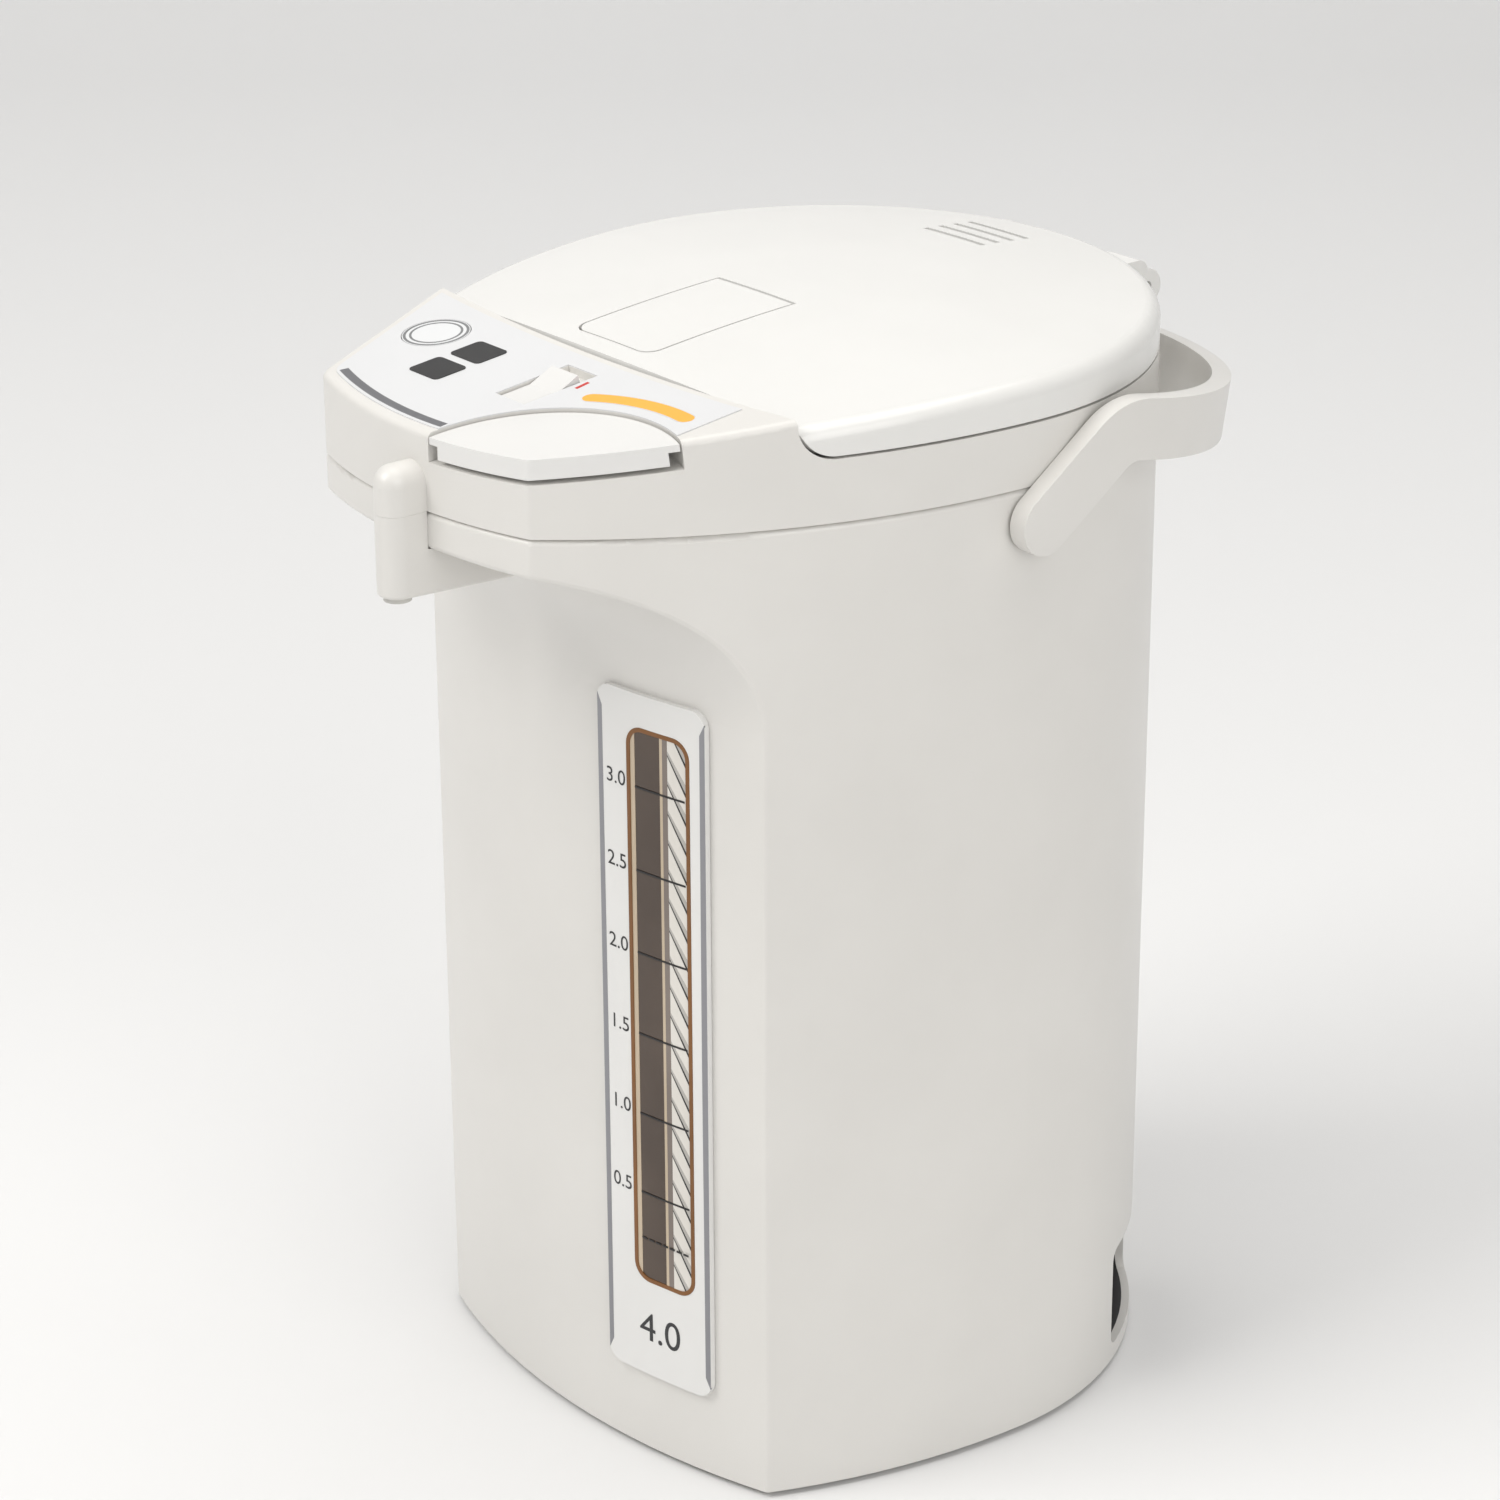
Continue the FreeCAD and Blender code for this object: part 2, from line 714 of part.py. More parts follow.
def make_control_label():
    sheet = prism(label_inset, seam_height, top_limit)
    sheet = sheet.cut(split_block(-label_inset + 1.0, deck_height, lid_corner_radius))
    layer = on_panel(box(-far, -far, 0, label_right_x, far, label_thickness))
    sheet = sheet.common(layer)
    sheet = sheet.cut(on_panel(rod(button_radius + moving_gap, button_x, button_y, -5.0, 5.0)))
    sheet = sheet.cut(slider_pocket_block(0.2, -5.0, 5.0))
    sheet = sheet.cut(on_panel(rod(key_radius + 0.3, key_x, key_y, -5.0, 5.0)))
    return max(sheet.Solids, key=lambda solid: solid.Volume)


def make_indicator_windows():
    width, depth = indicator_size
    windows = []
    for y in indicator_ys:
        plate = box(indicator_x - width / 2.0, y - depth / 2.0, label_thickness,
                    indicator_x + width / 2.0, y + depth / 2.0,
                    label_thickness + indicator_thickness)
        upright = [edge for edge in plate.Edges if edge.BoundBox.ZLength > 0.1]
        windows.append(on_panel(plate.makeFillet(1.6, upright)))
    return Part.makeCompound(windows)


def make_control_board():
    x0, y0, x1, y1 = control_board_box
    board = box(x0, y0, control_board_z, x1, y1, control_board_z + board_thickness)
    chip = box(-30.0, -122.0, control_board_z - 1.5, -18.0, -112.0, control_board_z + 0.1)
    lamps = [rod(2.4, indicator_x, y, control_board_z + 1.0, control_board_z + 6.0)
             for y in indicator_ys]
    return fuse_all([board, chip] + lamps)


# Lid

def lid_block(inset):
    block = prism(inset, deck_height + lid_gap, top_limit)
    block = block.common(split_block(lid_gap + inset, deck_height + lid_gap,
                                     lid_corner_radius - lid_gap))
    return block.common(crown_ball(inset))


def rounded_lid():
    lid = lid_block(0)
    rim = []
    for edge in lid.Edges:
        bounds = edge.BoundBox
        if bounds.ZMin > lid_rim_height - 3.0 and bounds.YMax > split_middle_y + 10.0:
            rim.append(edge)
    return lid.makeFillet(lid_edge_rounding, rim)


def lever_block(grow, low):
    shape = box(lever_x - lever_width / 2.0 - grow, lever_front_y - grow, low,
                lever_x + lever_width / 2.0 + grow, lever_rear_y + grow + 0.6 * (grow > 0),
                top_limit)
    upright = [edge for edge in shape.Edges
               if edge.BoundBox.ZLength > 1.0 and edge.BoundBox.YMax < lever_rear_y - 10.0]
    return shape.makeFillet(lever_corner, upright)


def make_lid_cover():
    outer = rounded_lid()
    inner = prism(wall, deck_height - 5.0, top_limit)
    inner = inner.common(split_block(lid_gap + wall, deck_height - 5.0, lid_corner_radius))
    inner = inner.common(crown_ball(wall + 0.3))
    shell = outer.cut(inner)
    tray = lever_block(moving_gap + wall * 0.6, pocket_floor - wall * 0.6).common(outer)
    shell = shell.fuse(tray).cut(lever_block(moving_gap, pocket_floor))
    sockets = cross_rod(lever_pin_radius + 0.05, lever_x - lever_width / 2.0 - 2.2,
                        lever_x + lever_width / 2.0 + 2.2, lever_axis_y, lever_axis_z)
    shell = shell.cut(sockets)

    tongue = box(-hinge_half_width, back_radius - 18.0, deck_height + lid_gap,
                 hinge_half_width, hinge_y, hinge_z + 9.0)
    tongue = tongue.cut(prism(wall, 0, top_limit).common(box(-far, -far, 0, far, far,
                                                             lid_rim_height)))
    top_edges = [edge for edge in tongue.Edges if edge.BoundBox.ZMin > hinge_z + 8.0
                 and edge.BoundBox.YMin > hinge_y - 0.1]
    tongue = tongue.makeFillet(4.0, top_edges)
    knuckles = cross_rod(knuckle_radius, -hinge_half_width, hinge_half_width, hinge_y, hinge_z)
    lid = fuse_all([shell, tongue, knuckles])
    clear = ear_half_width + 0.5
    lid = lid.cut(box(-clear, hinge_y - knuckle_radius - 1.0, 0, clear, hinge_y + 20.0,
                      top_limit))
    lid = lid.cut(cross_rod(hinge_pin_radius + 0.05, -far, far, hinge_y, hinge_z))
    for y in steam_slot_ys:
        slot = box(steam_slot_x - steam_slot_length / 2.0, y - steam_slot_width / 2.0,
                   deck_height + 6.0, steam_slot_x + steam_slot_length / 2.0,
                   y + steam_slot_width / 2.0, top_limit)
        lid = lid.cut(slot)
    nose = box(lever_x - bolt_width / 2.0 - 0.2, split_middle_y - 2.0, bolt_z - 0.2,
               lever_x + bolt_width / 2.0 + 0.2, split_middle_y + 8.0,
               bolt_z + bolt_thickness + 0.2)
    return lid.cut(nose)


def make_lid_inner():
    plate_low = deck_height + lid_gap
    plate = lid_block(wall + 0.3).common(box(-far, -far, 0, far, far,
                                             plate_low + lid_plate_thickness))
    plug = rod(lid_plug_radius, 0, 0, lid_plug_bottom, plate_low + 0.5)
    plug = plug.cut(rod(lid_plug_radius - 2.0, 0, 0, lid_plug_bottom + 2.0, plate_low + 0.6))
    groove = tube(lid_plug_radius + 1.0, lid_plug_radius - 1.2, 0, 0, lid_seal_bottom,
                  lid_seal_bottom + lid_seal_height)
    vents = []
    for number in range(6):
        angle = math.radians(60.0 * number)
        vents.append(rod(2.0, 14.0 * math.cos(angle), 40.0 + 14.0 * math.sin(angle),
                         lid_plug_bottom - 1.0, lid_plug_bottom + 3.0))
    plug = plug.cut(groove)
    for vent in vents:
        plug = plug.cut(vent)
    return fuse_all([plate, plug])


def make_lid_seal():
    return tube(lid_seal_radius, lid_plug_radius - 1.2 + part_gap, 0, 0,
                lid_seal_bottom + part_gap, lid_seal_bottom + lid_seal_height - part_gap)


def make_lid_lever():
    lever = lever_block(0, lever_bottom).common(rounded_lid())
    pins = cross_rod(lever_pin_radius, lever_x - lever_width / 2.0 - 2.0,
                     lever_x + lever_width / 2.0 + 2.0, lever_axis_y, lever_axis_z)
    return lever.fuse(pins)


def make_latch_bolt():
    front = split_middle_y + lid_gap + bolt_setback
    bolt = box(lever_x - bolt_width / 2.0, front, bolt_z, lever_x + bolt_width / 2.0,
               front + bolt_length, bolt_z + bolt_thickness)
    nose = [edge for edge in bolt.Edges if edge.BoundBox.YMax < front + 0.1
            and edge.BoundBox.ZMax < bolt_z + 0.1 and edge.BoundBox.XLength > 1.0]
    return bolt.makeChamfer(1.2, nose)


def make_bolt_guide():
    """Channel under the lid's top that the latch bolt slides in."""
    low = deck_height + lid_gap + lid_plate_thickness
    x0 = lever_x - bolt_width / 2.0
    x1 = lever_x + bolt_width / 2.0
    y0 = split_middle_y + 10.0
    guide = box(x0 - 2.0, y0, low, x1 + 2.0, y0 + 20.0, bolt_z + bolt_thickness + 0.4)
    channel = box(x0 - 0.2, y0 - 1.0, bolt_z - 0.2, x1 + 0.2, y0 + 21.0, top_limit)
    return guide.cut(channel)


# Hinge

def make_hinge_bracket():
    block = box(-hinge_half_width, back_radius - 10.0, bracket_bottom, hinge_half_width,
                bracket_back_y, bracket_top)
    rear = [edge for edge in block.Edges if edge.BoundBox.YMin > bracket_back_y - 0.1
            and edge.BoundBox.DiagonalLength > 5.0]
    block = block.makeFillet(1.5, rear)
    ear = box(-ear_half_width, hinge_y - knuckle_radius, bracket_top - 1.0, ear_half_width,
              hinge_y + knuckle_radius, hinge_z)
    barrel = cross_rod(knuckle_radius, -ear_half_width, ear_half_width, hinge_y, hinge_z)
    bracket = fuse_all([block, ear, barrel])
    bracket = bracket.cut(rod(back_radius + part_gap, 0, 0, bracket_bottom - 1.0, top_limit))
    for side in (-1, 1):
        bracket = bracket.fuse(Part.makeCylinder(
            bracket_stub_radius, 10.0,
            Vector(side * bracket_stub_x, back_radius - 6.0, bracket_stub_z), Vector(0, 1, 0)))
    bracket = bracket.cut(cross_rod(hinge_pin_radius + 0.01, -far, far, hinge_y, hinge_z))
    for side in (-1, 1):
        x0 = min(side * (hinge_half_width - 6.0), side * (hinge_half_width + 1.0))
        bracket = bracket.cut(cross_rod(1.4, x0, x0 + 7.0, hinge_y + 1.5, bracket_top - 7.0))
    return bracket


def make_hinge_pin():
    return cross_rod(hinge_pin_radius, 1.2 - hinge_half_width, hinge_half_width - 1.2,
                     hinge_y, hinge_z)


# Handle

def arch_wire(grow, steps):
    """Upright arch in the XZ plane: straight legs under a rounded top."""
    half = handle_inner_half + grow
    rise = handle_top_inner + grow - handle_spring_z
    points = []
    for step in range(steps + 1):
        angle = math.pi * step / steps
        c = math.cos(angle)
        s = math.sin(angle)
        power = 2.0 / handle_roundness
        x = half * math.copysign(abs(c) ** power, c)
        z = handle_spring_z + rise * s ** power
        points.append(Vector(x, 0, z))
    curve = Part.BSplineCurve()
    curve.interpolate(points)
    bottom = pivot_z - 30.0
    first = points[0]
    last = points[-1]
    low_right = Vector(first.x, 0, bottom)
    low_left = Vector(last.x, 0, bottom)
    edges = [curve.toShape(),
             Part.makeLine(last, low_left),
             Part.makeLine(low_left, low_right),
             Part.makeLine(low_right, first)]
    return Part.Wire(edges)


def make_handle():
    steps = 24
    outer = Part.Face(arch_wire(handle_thickness, steps)).extrude(Vector(0, far, 0))
    inner = Part.Face(arch_wire(0, steps)).extrude(Vector(0, far, 0))
    band = outer.cut(inner)
    band.translate(Vector(0, -far / 2.0, 0))

    elbow = Vector(0, handle_elbow[0], handle_elbow[1])
    pivot = Vector(0, pivot_y, pivot_z)
    top = Vector(0, handle_top_y, top_limit)
    down = (pivot - elbow).normalize()
    up = (top - elbow).normalize()
    half_turn = (math.pi - down.getAngle(up)) / 2.0
    reach = handle_bend_radius * math.tan(half_turn)
    start = elbow + down * reach
    end = elbow + up * reach
    inward = (down + up).normalize()
    middle = elbow + inward * (handle_bend_radius / math.cos(half_turn) - handle_bend_radius)
    half_width = handle_width / 2.0

    def beside(point, heading, side):
        return point + Vector(0, heading.z, -heading.y) * (side * half_width)

    onward = elbow - pivot
    onward.normalize()
    bisector = Vector(onward + up).normalize()
    rounds = []
    sides = []
    for side in (-1, 1):
        a = beside(start, onward, side)
        b = beside(middle, bisector, side)
        c = beside(end, up, side)
        rounds.append(Part.Arc(a, b, c).toShape())
        sides.append(Part.makeLine(beside(pivot, onward, side), a))
        sides.append(Part.makeLine(c, beside(top, up, side)))
    cap = Part.Arc(beside(pivot, onward, -1), pivot - onward * half_width,
                   beside(pivot, onward, 1)).toShape()
    crest = Part.makeLine(beside(top, up, -1), beside(top, up, 1))
    outline = Part.__sortEdges__(rounds + sides + [cap, crest])
    stroke = Part.Face(Part.Wire(outline))
    legs = stroke.extrude(Vector(2.0 * far, 0, 0))
    legs.translate(Vector(-far, 0, 0))
    handle = band.common(legs)
    pins = []
    for side in (-1, 1):
        x0 = min(side * pivot_pin_end_x, side * (handle_inner_half + 1.0))
        x1 = max(side * pivot_pin_end_x, side * (handle_inner_half + 1.0))
        pins.append(cross_rod(pivot_pin_radius, x0, x1, pivot_y, pivot_z))
    handle = handle.multiFuse(pins)
    handle.rotate(Vector(0, pivot_y, pivot_z), Vector(1, 0, 0), -handle_fold_at_rest)
    return handle


def make_handle_bushes():
    bushes = []
    for side in (-1, 1):
        face_x = back_radius - 0.9
        x0 = min(side * bush_inner_x, side * face_x)
        x1 = max(side * bush_inner_x, side * face_x)
        ring = cross_rod(bush_radius, x0, x1, pivot_y, pivot_z)
        flange_x = side * (bush_inner_x + 2.0)
        flange = cross_rod(bush_radius + 2.5, min(side * bush_inner_x, flange_x),
                           max(side * bush_inner_x, flange_x), pivot_y, pivot_z)
        bore = cross_rod(pivot_pin_radius + 0.05, -far, far, pivot_y, pivot_z)
        bushes.append(ring.fuse(flange).cut(bore))
    return Part.makeCompound(bushes)


# Water gauge on the front face

def gauge_block(offset, width, low, high, corner, r0, r1):
    """Upright slab standing through the front face at the gauge, with rounded corners."""
    slab = box(offset - width / 2.0, -r1 - 5.0, low, offset + width / 2.0, -r0 + 60.0, high)
    along = [edge for edge in slab.Edges if edge.BoundBox.YLength > 10.0]
    slab = slab.makeFillet(corner, along)
    slab.rotate(Vector(0, 0, 0), Vector(0, 0, 1), gauge_angle)
    slab.translate(Vector(0, front_face_y + front_face_radius, 0))
    ring = tube(r1, r0, 0, front_face_y + front_face_radius, low - 1.0, high + 1.0)
    front_half = box(-far, -far, low - 2.0, far, 0, high + 2.0)
    return slab.common(ring).common(front_half)


def gauge_point(offset, radius):
    angle = math.radians(gauge_angle)
    axis_y = front_face_y + front_face_radius
    x = offset * math.cos(angle) + radius * math.sin(angle)
    y = axis_y + offset * math.sin(angle) - radius * math.cos(angle)
    return x, y


def make_gauge_panel():
    outer = front_face_radius + gauge_thickness
    panel = gauge_block(0, gauge_width, gauge_bottom, gauge_top, gauge_corner,
                        front_face_radius + gauge_seat_gap, outer)
    return panel.cut(gauge_block(window_offset, window_width, window_bottom, window_top,
                                 window_corner, front_face_radius - 2.0, outer + 1.0))


def make_gauge_window():
    return gauge_block(window_offset, window_width - 2 * part_gap, window_bottom + part_gap,
                       window_top - part_gap, window_corner - part_gap,
                       front_face_radius + gauge_seat_gap,
                       front_face_radius + gauge_thickness - window_recess)


def tube_place():
    return gauge_point(window_offset, front_face_radius - tube_setback)


def make_sight_tube():
    x, y = tube_place()
    return tube(tube_radius, tube_bore, x, y, window_bottom - 7.0, window_top + 10.0)


def make_gauge_backing():
    r1 = front_face_radius - backing_setback
    plate = gauge_block(window_offset, window_width + 4.0, window_bottom - 3.0,
                        window_top + 3.0, 1.0, r1 - backing_thickness, r1)
    rail_out = front_face_radius - wall - 0.1
    for side in (-1, 1):
        rail = gauge_block(window_offset + side * (window_width / 2.0 + 1.3), 1.4,
                           window_bottom - 3.0, window_top + 3.0, 0.3, r1 - 0.2, rail_out)
        plate = plate.fuse(rail)
    return plate.removeSplitter()


# Vessel, heating and pump

def flange_bottom():
    return deck_height - deck_thickness - gasket_height - flange_thickness


def make_inner_vessel():
    top = flange_bottom() + flange_thickness
    pot = rod(vessel_radius + vessel_wall, 0, 0, vessel_floor - vessel_wall, top)
    flange = rod(vessel_flange_radius, 0, 0, flange_bottom(), top)
    pot = pot.fuse(flange).cut(rod(vessel_radius, 0, 0, vessel_floor, top + 1.0))
    return pot.cut(rod(suction_radius - suction_wall, pump_x, pump_y, vessel_floor - 5.0,
                       vessel_floor + 1.0))


def make_vessel_gasket():
    low = flange_bottom() + flange_thickness
    return tube(vessel_flange_radius - 0.5, mouth_radius + 0.5, 0, 0, low, low + gasket_height)


def make_heat_jacket():
    top = flange_bottom()
    wall_tube = tube(jacket_radius, jacket_radius - jacket_wall, 0, 0, jacket_bottom, top)
    lip = tube(jacket_radius, vessel_radius + vessel_wall + 0.5, 0, 0, top - jacket_wall, top)
    jacket = wall_tube.fuse(lip)
    x, y = tube_place()
    return jacket.cut(rod(tube_radius + 1.5, x, y, 0, top_limit))


def make_heater_plate():
    top = vessel_floor - vessel_wall
    plate = rod(heater_radius, 0, 0, top - heater_thickness, top)
    plate = plate.cut(rod(suction_radius + 2.0, pump_x, pump_y, 0, top + 1.0))
    return plate.cut(rod(thermostat_radius + 0.5, 0, 0, 0, top + 1.0))


def make_thermostat():
    top = vessel_floor - vessel_wall
    can = rod(thermostat_radius, 0, 0, top - thermostat_height, top)
    tabs = [box(side * 5.0 - 1.5, -0.4, top - thermostat_height - 6.0, side * 5.0 + 1.5, 0.4,
                top - thermostat_height + 0.2) for side in (-1, 1)]
    return fuse_all([can] + tabs)


def pump_floor():
    return base_top() + motor_height


def make_pump_motor():
    can = rod(motor_radius, pump_x, pump_y, base_top(), pump_floor())
    shaft = rod(shaft_radius, pump_x, pump_y, pump_floor() - 0.5,
                pump_floor() + pump_height - pump_wall - 2.0)
    return can.fuse(shaft)


def make_pump_housing():
    low = pump_floor()
    top = low + pump_height
    can = rod(pump_radius, pump_x, pump_y, low, top)
    outlet = Part.makeCylinder(5.0, 14.0, outlet_start(), outlet_direction())
    can = can.fuse(outlet)
    can = can.cut(rod(pump_radius - pump_wall, pump_x, pump_y, low + pump_wall,
                      top - pump_wall))
    can = can.cut(rod(suction_radius + part_gap, pump_x, pump_y, top - pump_wall - 1.0,
                      top + 1.0))
    can = can.cut(rod(shaft_radius + 0.3, pump_x, pump_y, low - 1.0, low + pump_wall + 1.0))
    bore = Part.makeCylinder(3.4, 30.0, outlet_start() - outlet_direction() * 4.0,
                             outlet_direction())
    return can.cut(bore)


def outlet_height():
    return pump_floor() + pump_height / 2.0


def outlet_direction():
    x, y = tube_place()
    return Vector(x - pump_x, y - pump_y, 0).normalize()


def outlet_start():
    return Vector(pump_x, pump_y, outlet_height()) + outlet_direction() * (pump_radius - 3.0)


def make_pump_rotor():
    low = pump_floor() + pump_wall + 1.0
    hub = rod(4.5, pump_x, pump_y, low, low + rotor_height)
    disc = rod(rotor_radius, pump_x, pump_y, low, low + 1.5)
    blades = []
    for number in range(6):
        blade = box(pump_x + 3.0, pump_y - 0.8, low + 1.0, pump_x + rotor_radius - 0.5,
                    pump_y + 0.8, low + rotor_height)
        blade.rotate(Vector(pump_x, pump_y, 0), Vector(0, 0, 1), 60.0 * number)
        blades.append(blade)
    rotor = fuse_all([hub, disc] + blades)
    return rotor.cut(rod(shaft_radius + 0.05, pump_x, pump_y, low - 1.0, low + 20.0))


def make_suction_pipe():
    low = pump_floor() + pump_height - pump_wall
    top = vessel_floor - vessel_wall
    return tube(suction_radius, suction_radius - suction_wall, pump_x, pump_y, low, top)


def bent_rod(points, bend, radius):
    """Round bar along straight runs joined by tangent arcs."""
    edges = []
    cursor = points[0]
    for index in range(1, len(points) - 1):
        corner = points[index]
        back = (points[index - 1] - corner).normalize()
        ahead = (points[index + 1] - corner).normalize()
        half_turn = (math.pi - back.getAngle(ahead)) / 2.0
        reach = bend * math.tan(half_turn)
        start = corner + back * reach
        end = corner + ahead * reach
        inward = (back + ahead).normalize()
        middle = corner + inward * (bend / math.cos(half_turn) - bend)
        edges.append(Part.makeLine(cursor, start))
        edges.append(Part.Arc(start, middle, end).toShape())
        cursor = end
    edges.append(Part.makeLine(cursor, points[-1]))
    direction = (points[1] - points[0]).normalize()
    ring = Part.Wire(Part.makeCircle(radius, points[0], direction))
    return Part.Wire(edges).makePipeShell([ring], True, False)


def bent_pipe(points, bend, outer, inner):
    return bent_rod(points, bend, outer).cut(bent_rod(points, bend, inner))


def make_riser_hose():
    x, y = tube_place()
    start = outlet_start() + outlet_direction() * (14.0 + part_gap)
    knee = Vector(x, y, outlet_height())
    end = Vector(x, y, window_bottom - 7.0 - part_gap)
    return bent_pipe([start, knee, end], 9.0, 5.0, 3.6)


def make_delivery_hose():
    x, y = tube_place()
    start = Vector(x, y, window_top + 10.0 + part_gap)
    high = Vector(x, y, nozzle_run_height)
    turn = Vector(0, nozzle_run_end + 22.0, nozzle_run_height)
    end = Vector(0, nozzle_run_end + part_gap, nozzle_run_height)
    return bent_pipe([start, high, turn, end], 9.0, 5.0, 3.6)


# Power inlet and electronics

def inlet_block(width, height, r0, r1, corner):
    """Block pointing out of the casing at the inlet."""
    middle = inlet_bottom + inlet_height / 2.0
    block = box(r0, -width / 2.0, middle - height / 2.0, r1, width / 2.0, middle + height / 2.0)
    along = [edge for edge in block.Edges if edge.BoundBox.XLength > 1.0]
    block = block.makeFillet(corner, along)
    block.rotate(Vector(0, 0, 0), Vector(0, 0, 1), inlet_angle)
    return block


def make_inlet_housing():
    outer = inlet_block(inlet_width + 2 * inlet_wall, inlet_height + 2 * inlet_wall - 0.2,
                        inlet_depth_radius - inlet_wall, back_radius, 5.0)
    outer = outer.common(rod(back_radius - wall - part_gap, 0, 0, 0, 100.0))
    outer = outer.cut(box(-far, -far, 0, far, far, base_top()))
    pocket = inlet_block(inlet_width, inlet_height, inlet_depth_radius, back_radius + 5.0, 4.0)
    housing = outer.cut(pocket)
    for pin in inlet_pins(inlet_pin_radius + part_gap):
        housing = housing.cut(pin)
    return housing


def inlet_pins(radius):
    pins = []
    middle = inlet_bottom + inlet_height / 2.0
    for side in (-1, 1):
        pin = Part.makeCylinder(radius, inlet_pin_length + inlet_wall + 5.0,
                                Vector(inlet_depth_radius - inlet_wall - 5.0,
                                       side * inlet_pin_spacing / 2.0, middle),
                                Vector(1, 0, 0))
        pin.rotate(Vector(0, 0, 0), Vector(0, 0, 1), inlet_angle)
        pins.append(pin)
    return pins


def make_inlet_pins():
    return Part.makeCompound(inlet_pins(inlet_pin_radius))


def make_power_board():
    x0, y0, x1, y1 = power_board_box
    board = box(x0, y0, power_board_z, x1, y1, power_board_z + board_thickness)
    caps = [rod(5.0, x0 + 10.0, y0 + 14.0 + 14.0 * number, power_board_z + board_thickness - 0.1,
                power_board_z + 14.0) for number in range(2)]
    return fuse_all([board] + caps)


def make_transformer():
    x1 = power_board_box[2]
    y1 = power_board_box[3]
    low = power_board_z + board_thickness
    width, depth, height = transformer_size
    core = box(x1 - width - 3.0, y1 - depth - 3.0, low, x1 - 3.0, y1 - 3.0, low + height)
    coil = box(x1 - width + 1.0, y1 - depth - 6.0, low + 3.0, x1 - 7.0, y1,
               low + height - 3.0)
    return core.fuse(coil)


makers = {
    "body_shell": make_body_shell,
    "base_plate": make_base_plate,
    "rubber_feet": make_rubber_feet,
    "base_screws": make_base_screws,
    "shoulder_cover": make_shoulder_cover,
    "spout_cover": make_spout_cover,
    "nozzle_tube": make_nozzle_tube,
    "control_label": make_control_label,
    "indicator_windows": make_indicator_windows,
    "control_board": make_control_board,
    "key_switch": make_key_switch,
    "button_switch": make_button_switch,
    "switch_carrier": make_switch_carrier,
    "dispense_button": make_dispense_button,
    "lock_slider": make_lock_slider,
    "reboil_key": make_reboil_key,
    "lid_cover": make_lid_cover,
    "lid_inner": make_lid_inner,
    "lid_seal": make_lid_seal,
    "lid_lever": make_lid_lever,
    "latch_bolt": make_latch_bolt,
    "bolt_guide": make_bolt_guide,
    "hinge_bracket": make_hinge_bracket,
    "hinge_pin": make_hinge_pin,
    "handle": make_handle,
    "handle_bushes": make_handle_bushes,
    "gauge_panel": make_gauge_panel,
    "gauge_window": make_gauge_window,
    "sight_tube": make_sight_tube,
    "gauge_backing": make_gauge_backing,
    "inner_vessel": make_inner_vessel,
    "vessel_gasket": make_vessel_gasket,
    "heat_jacket": make_heat_jacket,
    "heater_plate": make_heater_plate,
    "thermostat": make_thermostat,
    "pump_motor": make_pump_motor,
    "pump_housing": make_pump_housing,
    "pump_rotor": make_pump_rotor,
    "suction_pipe": make_suction_pipe,
    "riser_hose": make_riser_hose,
    "delivery_hose": make_delivery_hose,
    "inlet_housing": make_inlet_housing,
    "inlet_pins": make_inlet_pins,
    "power_board": make_power_board,
    "transformer": make_transformer,
}

os.makedirs("parts", exist_ok=True)
for name, make in makers.items():
    shape = make()
    shape.exportStep("parts/" + name + ".step")
    print(name, "solids", len(shape.Solids), "valid", shape.isValid(),
          "volume", round(shape.Volume, 1))
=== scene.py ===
import math

import bmesh
import bpy
from mathutils import Matrix, Vector


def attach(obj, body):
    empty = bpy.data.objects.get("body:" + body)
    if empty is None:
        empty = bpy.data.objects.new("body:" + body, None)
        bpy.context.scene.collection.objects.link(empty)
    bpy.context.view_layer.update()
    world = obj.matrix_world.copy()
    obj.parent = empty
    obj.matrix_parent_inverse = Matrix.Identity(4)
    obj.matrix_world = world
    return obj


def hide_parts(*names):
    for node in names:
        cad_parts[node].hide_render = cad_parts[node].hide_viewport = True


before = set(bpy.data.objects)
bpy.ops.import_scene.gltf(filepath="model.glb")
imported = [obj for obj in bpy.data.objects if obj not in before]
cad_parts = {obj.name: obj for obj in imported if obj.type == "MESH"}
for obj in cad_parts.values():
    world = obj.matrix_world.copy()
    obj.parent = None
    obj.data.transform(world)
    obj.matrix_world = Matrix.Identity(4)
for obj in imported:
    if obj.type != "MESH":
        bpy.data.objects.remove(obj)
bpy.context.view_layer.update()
print("stage: frame loaded")

mm = 0.001  # the pot's lengths are in millimetres, the room's in metres


# A shader socket that adds and multiplies like a number
class Value:
    def __init__(self, shader, socket):
        self.shader = shader
        self.socket = socket

    def maths(self, operation, other):
        return self.shader.node("ShaderNodeMath", {"operation": operation},
                                {0: self, 1: other})

    def __add__(self, other):
        return self.maths("ADD", other)

    def __mul__(self, other):
        return self.maths("MULTIPLY", other)

    __radd__ = __add__
    __rmul__ = __mul__


